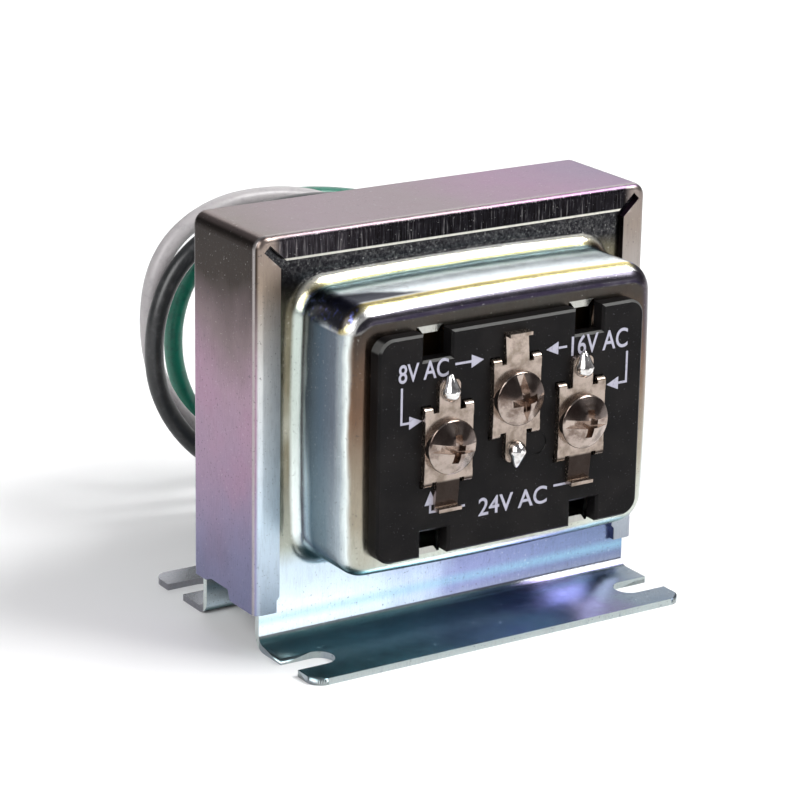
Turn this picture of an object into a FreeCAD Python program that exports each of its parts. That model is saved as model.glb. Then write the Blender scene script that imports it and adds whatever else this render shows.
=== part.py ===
import FreeCAD, Part
import math
import os
import Sketcher
from FreeCAD import Rotation, Vector

# Doorbell transformer: an EI-57 core and coil held by a folded steel band between
# two drawn steel covers. The front cover carries three screw terminals on a moulded
# board, the rear cover a threaded conduit hub with the three supply leads.
# Frame: millimetres, X to the right, front towards -Y, Z up, origin on the ground
# under the middle of the depth from screw heads to hub. The pieces are drawn about
# the middle of the core, and set_down moves each by the difference between the two.

doc = FreeCAD.newDocument("doorbell_transformer")
size = doc.addObject("Spreadsheet::Sheet", "Size")
place = doc.addObject("Spreadsheet::Sheet", "Place")

# Driving dimensions: name, value, what it is
SIZES = [
    ("tongue", "19.05", "width of the core's middle leg, the lamination's module"),
    ("stack", "12.7", "thickness of the lamination stack"),
    ("sheet", "0.9", "steel of the band and of both covers"),
    ("band_clear", "0.2", "play between core and band on each side"),
    ("cover_clear", "0.15", "play between a cover's flange and the band"),
    ("side_lip", "3.55", "band lip along the sides, over the bend"),
    ("top_lip", "3.35", "band lip along the top, over the bend"),
    ("band_corner", "0.9", "inside radius of the band's two top corners"),
    ("lip_bend", "0.15", "inside radius of the lips' bends"),
    ("lip_gap", "1.2", "mitre gap between top and side lips"),
    ("lip_step", "0.4", "narrower lower end of a side lip"),
    ("lip_step_tall", "1.7", "height of that narrower end"),
    ("core_base", "6.2", "underside of the core above the ground"),
    ("wall_drop", "1.1", "band wall below the core at the front"),
    ("wall_rise", "0.3", "band wall's middle above the core's underside"),
    ("wall_rear", "0.3", "band wall below the core at the rear"),
    ("foot_bend", "1.2", "inside radius of a cover's foot bend"),
    ("foot_reach", "21.2", "front edge of a foot from the middle"),
    ("slot_wide", "4.2", "mounting slot"),
    ("slot_middle", "14.9", "mounting slot's centre line from the middle"),
    ("slot_deep", "6.4", "mounting slot, from the foot's end to its round end"),
    ("prong_round", "2.0", "rounding of a foot's outer corners"),
    ("room_side", "3.4", "room between the bobbin and a dome's side walls"),
    ("room_high", "2.6125", "room between the bobbin and a dome's top and bottom walls"),
    ("dome_drop", "0.3625", "middle of a dome below the middle of the bobbin"),
    ("dome_rise", "12.15", "height of a dome over its flange"),
    ("dome_bow", "0.45", "outward bow of a dome's walls"),
    ("dome_corner", "4.0", "corner radius of a dome in plan"),
    ("dome_rim", "2.7", "radius round a dome's flat top"),
    ("dome_root", "1.9", "radius between dome and flange"),
    ("window_half", "16.0", "half width of the opening behind the board"),
    ("window_tall", "9.95", "half height of that opening"),
    ("tongue_root", "3.4", "little holding tongue, width at its root"),
    ("tongue_tip", "2.0", "little holding tongue, width at its tip"),
    ("tongue_long", "1.5", "little holding tongue, length"),
    ("slot_beyond", "13.95", "end of the tongues' slots from the board's middle"),
    ("board_high", "29.0", "middle of the terminal board above the ground"),
    ("board_half", "20.0", "half width of the terminal board"),
    ("board_tall", "14.6", "half height of the terminal board"),
    ("board_thick", "2.0", "terminal board"),
    ("board_corner", "2.2", "corner radius of the terminal board"),
    ("board_bevel", "0.3", "bevel round the board's front face"),
    ("boss_deep", "2.4", "board's rear boss, which fills the window"),
    ("boss_clear", "0.15", "play of the boss in the window"),
    ("notch_middle", "11.45", "board notches from the middle"),
    ("notch_wide", "4.1", "board notch"),
    ("notch_deep", "3.4", "board notch"),
    ("mark_round", "1.45", "ejector mark in the board's face, radius"),
    ("mark_deep", "0.12", "ejector mark, depth"),
    ("mark_side", "3.8", "ejector mark from the middle"),
    ("mark_high", "26.7", "ejector mark above the ground"),
    ("pitch", "10.1", "from one terminal to the next"),
    ("outer_high", "29.0", "outer terminal screws above the ground"),
    ("centre_high", "33.7", "centre terminal screw above the ground"),
    ("plate_wide", "7.1", "terminal plate"),
    ("plate_tall", "9.0", "terminal plate"),
    ("plate_thick", "0.8", "terminal plate"),
    ("leg_side", "3.0", "terminal legs from the plate's middle"),
    ("leg_wide", "1.2", "terminal leg"),
    ("leg_out", "0.75", "bend of a leg beyond the plate's edge"),
    ("leg_round", "0.6", "outside radius of that bend"),
    ("clinch", "0.9", "leg's end, turned over behind the boss"),
    ("clinch_thick", "0.5", "thickness of that end"),
    ("lug_wide", "3.1", "solder lug"),
    ("lug_long", "4.0", "solder lug beyond the plate"),
    ("lug_hole", "2.7", "solder lug's hole beyond the plate's edge"),
    ("tab_wide", "3.4", "wire stop beyond the plate"),
    ("tab_long", "4.0", "wire stop beyond the plate"),
    ("tab_slope", "0.35", "how far the wire stop's face falls back"),
    ("tab_lip", "1.0", "forward lip at the wire stop's end"),
    ("tab_lip_thick", "0.45", "that lip"),
    ("collar_round", "2.5", "tapped collar behind a terminal plate, radius"),
    ("collar_long", "1.3", "tapped collar, length"),
    ("screw_round", "1.72", "terminal screw's shank, radius"),
    ("screw_long", "6.3", "terminal screw below its head"),
    ("screw_clear", "0.05", "play of the screw in its collar"),
    ("head_round", "3.55", "screw head, radius"),
    ("head_side", "0.9", "straight side of the screw head"),
    ("head_dome", "1.3", "dome of the screw head"),
    ("slot_in_head", "1.1", "screwdriver slot, width"),
    ("slot_cut", "1.15", "screwdriver slot, depth below the dome's top"),
    ("cross_wide", "1.0", "cross recess, width of an arm"),
    ("cross_long", "3.7", "cross recess, across its arms"),
    ("cross_cut", "1.9", "cross recess, depth below the dome's top"),
    ("solder_round", "1.45", "solder joint, radius at the lug"),
    ("solder_high", "1.7", "solder joint, height over the lug"),
    ("board_play", "0.15", "play of legs, collars and tails in the board"),
    ("bobbin_clear", "0.15", "play between bobbin and core"),
    ("bobbin_wall", "1.0", "bobbin tube and flanges"),
    ("flange_deep", "14.6", "bobbin flanges front and rear, from the middle"),
    ("divider_high", "32.4", "underside of the bobbin's divider"),
    ("coil_side", "7.3", "winding build at the sides"),
    ("coil_front", "6.8", "winding build at the front and rear"),
    ("coil_gap", "0.1", "windings from the bobbin's flanges"),
    ("coil_corner", "4.0", "outside corner radius of the windings"),
    ("wrap", "0.25", "tape round each winding"),
    ("tail_round", "0.3", "secondary wire, radius"),
    ("tail_clear", "0.15", "play of the tails in the tape"),
    ("tail_bend", "0.7", "bend of the centre tail"),
    ("tail_top", "36.2", "where the centre tail leaves its winding"),
    ("hub_drop", "0.3", "hub's axis below the middle of its dome"),
    ("hub_round", "10.48", "half-inch trade size hub thread, outside radius"),
    ("hub_bore", "7.9", "hub's bore, radius"),
    ("hub_flange", "12.5", "hub's shoulder on the cover, radius"),
    ("hub_shoulder", "1.0", "hub's shoulder, thickness"),
    ("hub_long", "9.0", "hub's thread beyond its shoulder"),
    ("hub_spigot", "9.2", "hub's spigot through the cover, radius"),
    ("hub_collar", "10.2", "swaged collar inside the cover, radius"),
    ("hub_collar_thick", "0.6", "swaged collar"),
    ("hub_play", "0.1", "play of the spigot in the cover"),
    ("hub_lead", "0.7", "lead-in at the thread's end"),
    ("nut_round", "13.8", "locknut over its teeth, radius"),
    ("nut_thick", "3.0", "locknut"),
    ("nut_from_shoulder", "1.6", "locknut from the hub's shoulder"),
    ("nut_play", "0.06", "play of the locknut on the thread"),
    ("nut_teeth", "8", "notches round the locknut"),
    ("nut_notch", "3.2", "locknut notch, width"),
    ("nut_notch_deep", "1.5", "locknut notch, depth"),
    ("bushing_play", "0.06", "play of the bushing in the hub"),
    ("bushing_long", "3.6", "bushing inside the hub's mouth"),
    ("bushing_lip", "8.8", "bushing's lip, radius"),
    ("bushing_lip_thick", "0.8", "bushing's lip"),
    ("lead_round", "1.35", "supply lead over its insulation, radius"),
    ("lead_circle", "4.2", "leads' holes from the hub's axis"),
    ("lead_play", "0.12", "play of a lead in the bushing"),
    ("splice_round", "1.3", "crimped splice, radius"),
    ("splice_start", "17.0", "inner end of the splices from the middle"),
    ("splice_long", "7.0", "crimped splice"),
    ("cutoff_round", "1.25", "thermal cut-off, radius"),
    ("cutoff_low", "18.6", "underside of the thermal cut-off"),
    ("cutoff_tall", "5.0", "thermal cut-off"),
    ("cutoff_wire", "0.35", "thermal cut-off's wires, radius"),
    ("cutoff_drop", "1.15", "cut-off's lower wire below its body"),
    ("cutoff_bend", "0.8", "bends of the cut-off's wires"),
    ("seat_gap", "0.1", "cut-off from the tape that it lies against"),
    ("ground_wide", "5.0", "ground tongue"),
    ("ground_thick", "0.8", "ground tongue"),
    ("ground_joggle", "10.9", "where the ground tongue steps to the cover"),
    ("ground_past", "2.4", "end of the ground tongue beyond its rivet"),
    ("rivet_from_wall", "7.2", "ground rivet from the dome's side wall"),
    ("rivet_round", "1.2", "ground rivet's shank, radius"),
    ("rivet_head", "2.2", "ground rivet's head, radius"),
    ("rivet_high", "0.9", "ground rivet's head"),
    ("rivet_play", "0.05", "play of the rivet in its holes"),
    ("strip_round", "0.8", "stripped copper end of a lead, radius"),
    ("strip_long", "9.0", "stripped copper end of a lead"),
]

# Places worked out from the sizes: name, formula
PLACES = [
    ("core_half", "=Size.tongue * 1.5"),
    ("core_top", "=Size.core_base + Size.tongue * 2.5"),
    ("yoke_low", "=core_top - Size.tongue / 2"),
    ("joint_high", "=Size.core_base + Size.tongue / 2"),
    ("wall_in", "=core_half + Size.band_clear"),
    ("wall_out", "=wall_in + Size.sheet"),
    ("band_top", "=core_top + Size.sheet"),
    ("flange_back", "=Size.stack / 2"),
    ("flange_face", "=flange_back + Size.sheet"),
    ("band_face", "=flange_face + Size.sheet"),
    ("lip_in", "=wall_out - Size.side_lip"),
    ("lip_low", "=band_top - Size.top_lip"),
    ("wall_low", "=Size.core_base - Size.wall_drop"),
    ("mitre", "=Size.lip_gap / 2 * sqrt(2) / 2"),
    ("mitre_side", "=wall_in - Size.band_corner * 0.3 - mitre"),
    ("mitre_high", "=core_top - Size.band_corner * 0.3 - mitre"),
    ("cover_half", "=wall_in - Size.cover_clear"),
    ("cover_top", "=core_top - Size.cover_clear"),
    ("plateau", "=flange_face + Size.dome_rise"),
    ("plateau_in", "=plateau - Size.sheet"),
    ("board_face", "=plateau + Size.board_thick"),
    ("boss_back", "=plateau - Size.boss_deep"),
    ("terminal_back", "=board_face - boss_back"),
    ("plate_face", "=board_face + Size.plate_thick"),
    ("lug_from_axis", "=Size.plate_tall / 2 + Size.lug_hole"),
    ("lug_high_outer", "=Size.outer_high + lug_from_axis"),
    ("lug_high_centre", "=Size.centre_high - lug_from_axis"),
    ("tube_half", "=Size.tongue / 2 + Size.bobbin_clear + Size.bobbin_wall"),
    ("tube_deep", "=Size.stack / 2 + Size.bobbin_clear + Size.bobbin_wall"),
    ("bobbin_half", "=Size.tongue - Size.bobbin_clear"),
    ("bobbin_low", "=joint_high + Size.bobbin_clear"),
    ("bobbin_high", "=yoke_low - Size.bobbin_clear"),
    ("dome_half", "=bobbin_half + Size.room_side + Size.sheet"),
    ("dome_tall", "=(bobbin_high - bobbin_low) / 2 + Size.room_high + Size.sheet"),
    ("dome_high", "=(bobbin_high + bobbin_low) / 2 - Size.dome_drop"),
    ("bow_wide", "=(dome_half ^ 2 + Size.dome_bow ^ 2) / (2 * Size.dome_bow)"),
    ("bow_tall", "=(dome_tall ^ 2 + Size.dome_bow ^ 2) / (2 * Size.dome_bow)"),
    ("half_in", "=dome_half - Size.sheet"),
    ("tall_in", "=dome_tall - Size.sheet"),
    ("bow_wide_in", "=(half_in ^ 2 + Size.dome_bow ^ 2) / (2 * Size.dome_bow)"),
    ("bow_tall_in", "=(tall_in ^ 2 + Size.dome_bow ^ 2) / (2 * Size.dome_bow)"),
    ("hub_high", "=dome_high - Size.hub_drop"),
    ("rivet_side", "=dome_half - Size.rivet_from_wall"),
    ("ground_end", "=rivet_side + Size.ground_past"),
    ("coil_half", "=tube_half + Size.coil_side"),
    ("coil_deep", "=tube_deep + Size.coil_front"),
    ("primary_low", "=bobbin_low + Size.bobbin_wall + Size.coil_gap"),
    ("primary_high", "=Size.divider_high - Size.coil_gap"),
    ("secondary_low", "=Size.divider_high + Size.bobbin_wall + Size.coil_gap"),
    ("secondary_high", "=bobbin_high - Size.bobbin_wall - Size.coil_gap"),
    ("wrap_deep", "=coil_deep + Size.wrap"),
    ("tail_run", "=wrap_deep + Size.tail_clear + Size.tail_round"),
    ("tail_tip", "=plate_face + Size.solder_high / 2"),
    ("hub_base", "=plateau + Size.hub_shoulder"),
    ("hub_mouth", "=hub_base + Size.hub_long"),
    ("lead_start", "=Size.splice_start + Size.splice_long"),
    ("head_face", "=plate_face + Size.head_side + Size.head_dome"),
    ("middle", "=(hub_mouth + Size.bushing_lip_thick - head_face) / 2"),
    ("white_side", "=-Size.lead_circle"),
    ("white_high", "=hub_high"),
    ("black_side", "=Size.lead_circle / 2"),
    ("black_high", "=hub_high - Size.lead_circle * sqrt(3) / 2"),
    ("green_side", "=Size.lead_circle / 2"),
    ("green_high", "=hub_high + Size.lead_circle * sqrt(3) / 2"),
    ("cutoff_deep", "=wrap_deep + Size.seat_gap + Size.cutoff_round"),
    ("cutoff_foot", "=Size.cutoff_low - Size.cutoff_drop"),
]

# Routes of the three leads behind the covers: chosen points (x, y, z). Each starts
# on its hole's axis in the bushing and goes once round the hub.
EXIT_REACH = {"white": 36.6, "black": 36.4, "green": 41.4}
ROUTES = {
    "white": [(6.6, 41.9, 23.5), (15.7, 43.4, 27.4), (18.8, 43.7, 36.2), (14.2, 44.0, 44.2),
              (5.2, 43.9, 46.3), (-6.6, 44.0, 45.4), (-14.8, 43.8, 39.2),
              (-17.2, 43.6, 28.4), (-14.6, 43.4, 17.4), (-6.8, 42.6, 9.4),
              (4.6, 40.8, 6.6), (14.8, 38.4, 9.6)],
    "black": [(13.2, 41.2, 21.8), (21.4, 41.4, 26.6), (23.4, 41.0, 35.4), (17.4, 40.6, 42.4),
              (6.6, 40.2, 44.4), (-5.6, 40.2, 43.2), (-14.8, 40.0, 38.0),
              (-18.8, 39.8, 28.6), (-17.6, 39.6, 17.8), (-10.2, 38.6, 8.4),
              (2.0, 36.4, 4.4), (12.8, 33.6, 4.8)],
    "green": [(13.0, 47.6, 21.6), (11.0, 48.0, 10.6), (2.4, 48.2, 6.6), (-6.4, 48.2, 10.6),
              (-10.8, 48.0, 19.2), (-11.0, 47.8, 28.6), (-6.8, 47.4, 36.6),
              (1.0, 47.8, 41.8), (10.6, 48.0, 43.4), (20.2, 47.8, 41.2)],
}
ARC_SHARE = 0.45


def fill(sheet, rows):
    """Writes names and values into a sheet, one row each."""
    for number, row in enumerate(rows, 1):
        sheet.set("B%d" % number, row[1])
        sheet.setAlias("B%d" % number, row[0])
        sheet.set("A%d" % number, row[2] if len(row) > 2 else row[0])


def value(expression):
    """The number that an expression stands for."""
    return float(doc.Place.evalExpression(expression))


def new_body(name):
    """One physical piece."""
    body = doc.addObject("PartDesign::Body", name)
    body.Label = name
    return body


def set_down(piece, across="0", back="0", up="0"):
    """Gives a piece its place in the part's frame."""
    piece.setExpression("Placement.Base.x", across)
    piece.setExpression("Placement.Base.y", back + " - Place.middle")
    piece.setExpression("Placement.Base.z", up)
    return piece


def origin_plane(body, role):
    """One of the body's own base planes."""
    return [plane for plane in body.Origin.OriginFeatures if plane.Role == role][0]


def sketch_on(body, name, role, lift="0"):
    """An empty sketch on a base plane, lifted along the plane's normal."""
    sketch = body.newObject("Sketcher::SketchObject", body.Label + "_" + name)
    sketch.AttachmentSupport = (origin_plane(body, role), [""])
    sketch.MapMode = "FlatFace"
    sketch.setExpression("AttachmentOffset.Base.z", lift)
    return sketch


def tie(sketch, kind, expression, *where):
    """One dimension of a sketch, tied to an expression."""
    number = sketch.addConstraint(Sketcher.Constraint(kind, *where, value(expression)))
    sketch.setExpression("Constraints[%d]" % number, expression)


def tie_point(sketch, curve, end, across, up):
    """Ties one end of a curve to a place."""
    tie(sketch, "DistanceX", across, -1, 1, curve, end)
    tie(sketch, "DistanceY", up, -1, 1, curve, end)


def polygon(sketch, corners):
    """A closed outline of straight lines."""
    points = [Vector(value(across), value(up), 0) for across, up in corners]
    first = sketch.GeometryCount
    count = len(corners)
    for number in range(count):
        sketch.addGeometry(Part.LineSegment(points[number], points[(number + 1) % count]), False)
    for number in range(count):
        following = first + (number + 1) % count
        sketch.addConstraint(Sketcher.Constraint("Coincident", first + number, 2, following, 1))
    for number, (across, up) in enumerate(corners):
        tie_point(sketch, first + number, 1, across, up)


def rectangle(sketch, left, right, low, high):
    """A closed rectangle."""
    polygon(sketch, [(left, low), (right, low), (right, high), (left, high)])


def circle(sketch, across, up, radius):
    """A full circle."""
    centre = Vector(value(across), value(up), 0)
    number = sketch.addGeometry(Part.Circle(centre, Vector(0, 0, 1), value(radius)), False)
    tie_point(sketch, number, 3, across, up)
    tie(sketch, "Radius", radius, number)


def bowed_rectangle(sketch, half, tall, middle, bow, radius_wide, radius_tall):
    """A rectangle whose four sides bow outwards as true arcs."""
    across = value(half)
    up = value(tall)
    centre = value(middle)
    out = value(bow)
    corners = [Vector(-across, centre - up, 0), Vector(across, centre - up, 0),
               Vector(across, centre + up, 0), Vector(-across, centre + up, 0)]
    middles = [Vector(0, centre - up - out, 0), Vector(across + out, centre, 0),
               Vector(0, centre + up + out, 0), Vector(-across - out, centre, 0)]
    for number in range(4):
        arc = Part.Arc(corners[number], middles[number], corners[(number + 1) % 4])
        sketch.addGeometry(arc, False)
    for number in range(4):
        sketch.addConstraint(Sketcher.Constraint("Coincident", number, 2, (number + 1) % 4, 1))
    signs = [(-1, -1), (1, -1), (1, 1), (-1, 1)]
    for number, (side, rise) in enumerate(signs):
        tie_point(sketch, number, 1, "%d * (%s)" % (side, half),
                  "%s + %d * (%s)" % (middle, rise, tall))
    for number, radius in enumerate([radius_wide, radius_tall] * 2):
        tie(sketch, "Radius", radius, number)


def feature_from(body, kind, name, sketch):
    """A feature that takes its outline from a sketch."""
    feature = body.newObject("PartDesign::" + kind, body.Label + "_" + name)
    feature.Profile = sketch
    return feature


def pad(body, name, sketch, length, middle=False, back=False):
    """Material along the sketch's normal, or both ways."""
    feature = feature_from(body, "Pad", name, sketch)
    feature.setExpression("Length", length)
    feature.Midplane = middle
    feature.Reversed = back
    doc.recompute()
    return feature


def pocket(body, name, sketch, length, middle=False, forward=False):
    """A cut against the sketch's normal, or both ways. It must take material away."""
    before = body.Shape.Volume
    feature = feature_from(body, "Pocket", name, sketch)
    feature.setExpression("Length", length)
    feature.Midplane = middle
    feature.Reversed = forward
    doc.recompute()
    if not body.Shape.Volume < before:
        raise RuntimeError(feature.Name + " cuts nothing")
    return feature


def revolve(body, name, sketch):
    """A full turn of the sketch about its own horizontal axis."""
    feature = feature_from(body, "Revolution", name, sketch)
    feature.ReferenceAxis = (sketch, ["H_Axis"])
    feature.Angle = 360
    doc.recompute()
    return feature


def soften(body, name, base, radius, chosen, kind="Fillet"):
    """Fillet or chamfer on the edges of a feature that the test picks."""
    names = ["Edge%d" % number for number, edge in enumerate(base.Shape.Edges, 1)
             if chosen(edge)]
    if not names:
        raise RuntimeError(body.Label + " has no edge for " + name)
    feature = body.newObject("PartDesign::" + kind, body.Label + "_" + name)
    feature.Base = (base, names)
    feature.setExpression("Radius" if kind == "Fillet" else "Size", radius)
    doc.recompute()
    return feature


def hollow_out(body, name, base, wall, open_side):
    """Turns a solid into an even wall, open on the faces that the test picks."""
    names = ["Face%d" % number for number, face in enumerate(base.Shape.Faces, 1)
             if open_side(face)]
    feature = body.newObject("PartDesign::Thickness", body.Label + "_" + name)
    feature.Base = (base, names)
    feature.setExpression("Value", wall)
    feature.Reversed = True
    doc.recompute()
    if not body.Shape.Volume < base.Shape.Volume:
        raise RuntimeError(feature.Name + " isn't hollow")
    return feature


def near(first, second):
    """Whether two places are the same."""
    return abs(first - second) < 1e-4


def flat_in(edge, axis, where):
    """Whether an edge lies wholly at one place along an axis."""
    box = edge.BoundBox
    low = {"x": box.XMin, "y": box.YMin, "z": box.ZMin}[axis]
    high = {"x": box.XMax, "y": box.YMax, "z": box.ZMax}[axis]
    return near(low, where) and near(high, where)


def runs_along(edge, axis):
    """Whether an edge is straight along an axis."""
    box = edge.BoundBox
    lengths = {"x": box.XLength, "y": box.YLength, "z": box.ZLength}
    return all(lengths[other] < 1e-4 for other in lengths if other != axis)


# Steel band

def band():
    """Folded frame with lips all round, which clamps core and cover flanges."""
    body = new_body("band")
    block = sketch_on(body, "block", "XZ_Plane")
    rectangle(block, "-Place.wall_out", "Place.wall_out", "Place.wall_low", "Place.band_top")
    solid = pad(body, "solid", block, "2 * Place.band_face", middle=True)
    top = value("Place.band_top")
    low = value("Place.wall_low")
    face = value("Place.band_face")
    corners = soften(body, "corners", solid, "Size.band_corner + Size.sheet",
                     lambda edge: runs_along(edge, "y") and flat_in(edge, "z", top))
    folds = soften(body, "folds", corners, "Size.lip_bend + Size.sheet",
                   lambda edge: (flat_in(edge, "y", face) or flat_in(edge, "y", -face))
                   and not flat_in(edge, "z", low))
    hollow_out(body, "hollow", folds, "Size.sheet", lambda side: flat_in(side, "z", low))
    opening = sketch_on(body, "opening", "XZ_Plane")
    step = "Place.lip_in + Size.lip_step"
    step_top = "Place.wall_low + Size.lip_step_tall"
    polygon(opening, [("-(%s)" % step, "Place.wall_low - 1"), (step, "Place.wall_low - 1"),
                      (step, step_top), ("Place.lip_in", step_top + " + Size.lip_step"),
                      ("Place.lip_in", "Place.lip_low"), ("-Place.lip_in", "Place.lip_low"),
                      ("-Place.lip_in", step_top + " + Size.lip_step"),
                      ("-(%s)" % step, step_top)])
    pocket(body, "window", opening, "3 * Place.band_face", middle=True)
    for name, side in (("left", "-1"), ("right", "1")):
        gap = sketch_on(body, name + "_mitre", "XZ_Plane")
        polygon(gap, [(side + " * (Place.lip_in - 1 + Place.mitre)",
                       "Place.lip_low - 1 - Place.mitre"),
                      (side + " * (Place.lip_in - 1 - Place.mitre)",
                       "Place.lip_low - 1 + Place.mitre"),
                      (side + " * (Place.mitre_side - Place.mitre)",
                       "Place.mitre_high + Place.mitre"),
                      (side + " * (Place.mitre_side + Place.mitre)",
                       "Place.mitre_high - Place.mitre")])
        pocket(body, name + "_gap", gap, "3 * Place.band_face", middle=True)
    edge = sketch_on(body, "lower_edge", "YZ_Plane")
    polygon(edge, [("-Place.flange_back / 4", "Place.wall_low - 1"),
                   ("-Place.flange_back / 4", "Place.wall_low"),
                   ("-Place.flange_back / 6", "Size.core_base + Size.wall_rise"),
                   ("Place.flange_back / 2", "Size.core_base + Size.wall_rise"),
                   ("Place.flange_back * 0.75", "Size.core_base - Size.wall_rear"),
                   ("Place.band_face + 1", "Size.core_base - Size.wall_rear"),
                   ("Place.band_face + 1", "Place.wall_low - 1")])
    pocket(body, "lower_trim", edge, "3 * Place.wall_out", middle=True)
    return set_down(body)


# Laminated core

def e_core():
    """E laminations, back at the top, legs down."""
    body = new_body("e_core")
    outline = sketch_on(body, "outline", "XZ_Plane")
    half = "Place.core_half"
    inner = "Size.tongue"
    leg = "Size.tongue / 2"
    low = "Place.joint_high"
    yoke = "Place.yoke_low"
    polygon(outline, [("-" + half, low), ("-" + inner, low), ("-" + inner, yoke),
                      ("-" + leg, yoke), ("-" + leg, low), (leg, low), (leg, yoke),
                      (inner, yoke), (inner, low), (half, low),
                      (half, "Place.core_top"), ("-" + half, "Place.core_top")])
    solid = pad(body, "stack", outline, "Size.stack", middle=True)
    top = value("Place.core_top")
    soften(body, "corners", solid, "Size.band_corner",
           lambda edge: runs_along(edge, "y") and flat_in(edge, "z", top))
    return set_down(body)


def i_core():
    """I laminations, which close the core at the bottom."""
    body = new_body("i_core")
    outline = sketch_on(body, "outline", "XZ_Plane")
    rectangle(outline, "-Place.core_half", "Place.core_half", "Size.core_base",
              "Place.joint_high")
    pad(body, "stack", outline, "Size.stack", middle=True)
    return set_down(body)


# Coil

def ring(sketch, half, deep, hole_half, hole_deep):
    """A rectangle with a rectangular hole, both about the origin."""
    rectangle(sketch, "-(%s)" % half, half, "-(%s)" % deep, deep)
    rectangle(sketch, "-(%s)" % hole_half, hole_half, "-(%s)" % hole_deep, hole_deep)


def bobbin():
    """Tube on the core's middle leg with two end flanges and a divider."""
    body = new_body("bobbin")
    hole_half = "Size.tongue / 2 + Size.bobbin_clear"
    hole_deep = "Size.stack / 2 + Size.bobbin_clear"
    section = sketch_on(body, "tube_section", "XY_Plane", "Place.bobbin_low")
    ring(section, "Place.tube_half", "Place.tube_deep", hole_half, hole_deep)
    pad(body, "tube", section, "Place.bobbin_high - Place.bobbin_low")
    flanges = (("lower", "Place.bobbin_low"), ("divider", "Size.divider_high"),
               ("upper", "Place.bobbin_high - Size.bobbin_wall"))
    for name, low in flanges:
        outline = sketch_on(body, name + "_outline", "XY_Plane", low)
        ring(outline, "Place.bobbin_half", "Size.flange_deep", hole_half, hole_deep)
        last = pad(body, name, outline, "Size.bobbin_wall")
    half = value("Place.bobbin_half")
    soften(body, "corners", last, "Size.bobbin_wall",
           lambda edge: runs_along(edge, "z") and near(abs(edge.BoundBox.XMin), half))
    return set_down(body)


def winding(name, low, high):
    """Copper wound on the bobbin's tube between two flanges."""
    body = new_body(name)
    outline = sketch_on(body, "outline", "XY_Plane", low)
    ring(outline, "Place.coil_half", "Place.coil_deep", "Place.tube_half", "Place.tube_deep")
    solid = pad(body, "coil", outline, "%s - %s" % (high, low))
    half = value("Place.coil_half")
    soften(body, "corners", solid, "Size.coil_corner",
           lambda edge: runs_along(edge, "z") and near(abs(edge.BoundBox.XMin), half))
    return body


def primary_winding():
    """Supply winding, with the tail that goes to the white lead's splice."""
    body = winding("primary_winding", "Place.primary_low", "Place.primary_high")
    tail = sketch_on(body, "tail_section", "XZ_Plane", "-(Place.coil_deep - 1)")
    circle(tail, "Place.white_side", "Place.white_high", "Size.tail_round")
    pad(body, "tail", tail, "Size.splice_start - Place.coil_deep + 1", back=True)
    return set_down(body)


def secondary_winding():
    """Bell winding, with its three tails out to the solder lugs."""
    body = winding("secondary_winding", "Place.secondary_low", "Place.secondary_high")
    for name, side in (("left", "-"), ("right", "")):
        tail = sketch_on(body, name + "_tail_section", "XZ_Plane", "Place.coil_deep - 1")
        circle(tail, side + "Size.pitch", "Place.lug_high_outer", "Size.tail_round")
        pad(body, name + "_tail", tail, "Place.tail_tip - Place.coil_deep + 1")
    start = "-(Place.coil_deep - 1)"
    run = "-Place.tail_run"
    path = bent_path(body, "centre_tail_path", [(start, "Size.tail_top"), (run, "Size.tail_top"),
                                                (run, "Place.lug_high_centre"),
                                                ("-Place.tail_tip", "Place.lug_high_centre")],
                     "Size.tail_bend")
    tail = sketch_on(body, "centre_tail_section", "XZ_Plane", "Place.coil_deep - 1")
    circle(tail, "0", "Size.tail_top", "Size.tail_round")
    pipe_along(body, "centre_tail", tail, path)
    return set_down(body)


def bent_path(body, name, corners, radius):
    """An open path in the YZ plane: straight runs joined by tangent arcs."""
    sketch = sketch_on(body, name, "YZ_Plane")
    points = [Vector(value(across), value(up), 0) for across, up in corners]
    bend = value(radius)
    pieces = rounded_path(points, [bend] * (len(points) - 2))
    for piece in pieces:
        sketch.addGeometry(piece, False)
    for number in range(len(pieces) - 1):
        joint = pieces[number].EndPoint
        sketch.addConstraint(Sketcher.Constraint("Tangent", number, end_at(sketch, number, joint),
                                                 number + 1, end_at(sketch, number + 1, joint)))
    tie_point(sketch, 0, 1, *corners[0])
    tie_point(sketch, len(pieces) - 1, 2, *corners[-1])
    for number in range(1, len(pieces), 2):
        tie(sketch, "Radius", radius, number)
    for number in range(len(corners) - 1):
        upright = near(points[number].x, points[number + 1].x)
        kind = "Vertical" if upright else "Horizontal"
        sketch.addConstraint(Sketcher.Constraint(kind, 2 * number))
        if 0 < number < len(corners) - 2:
            kind = "DistanceX" if upright else "DistanceY"
            tie(sketch, kind, corners[number][0 if upright else 1], -1, 1, 2 * number, 1)
    return sketch


def end_at(sketch, curve, point):
    """Which end of a curve lies at a point: 1 is its start, 2 its end."""
    return 1 if sketch.getPoint(curve, 1).isEqual(point, 1e-6) else 2


def rounded_path(points, radii):
    """Lines through the points, with a tangent arc at each inner point."""
    pieces = []
    start = points[0]
    for number, radius in enumerate(radii, 1):
        corner = points[number]
        back = (points[number - 1] - corner).normalize()
        ahead = (points[number + 1] - corner).normalize()
        turn = math.pi - back.getAngle(ahead)
        cut = radius * math.tan(turn / 2)
        inward = (back + ahead).normalize()
        depth = radius / math.cos(turn / 2) - radius
        pieces.append(Part.LineSegment(start, corner + back * cut))
        pieces.append(Part.Arc(corner + back * cut, corner + inward * depth,
                               corner + ahead * cut))
        start = corner + ahead * cut
    pieces.append(Part.LineSegment(start, points[-1]))
    return pieces


def pipe_along(body, name, section, path):
    """A round wire along a path."""
    feature = feature_from(body, "AdditivePipe", name, section)
    feature.Spine = path
    doc.recompute()
    return feature


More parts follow.
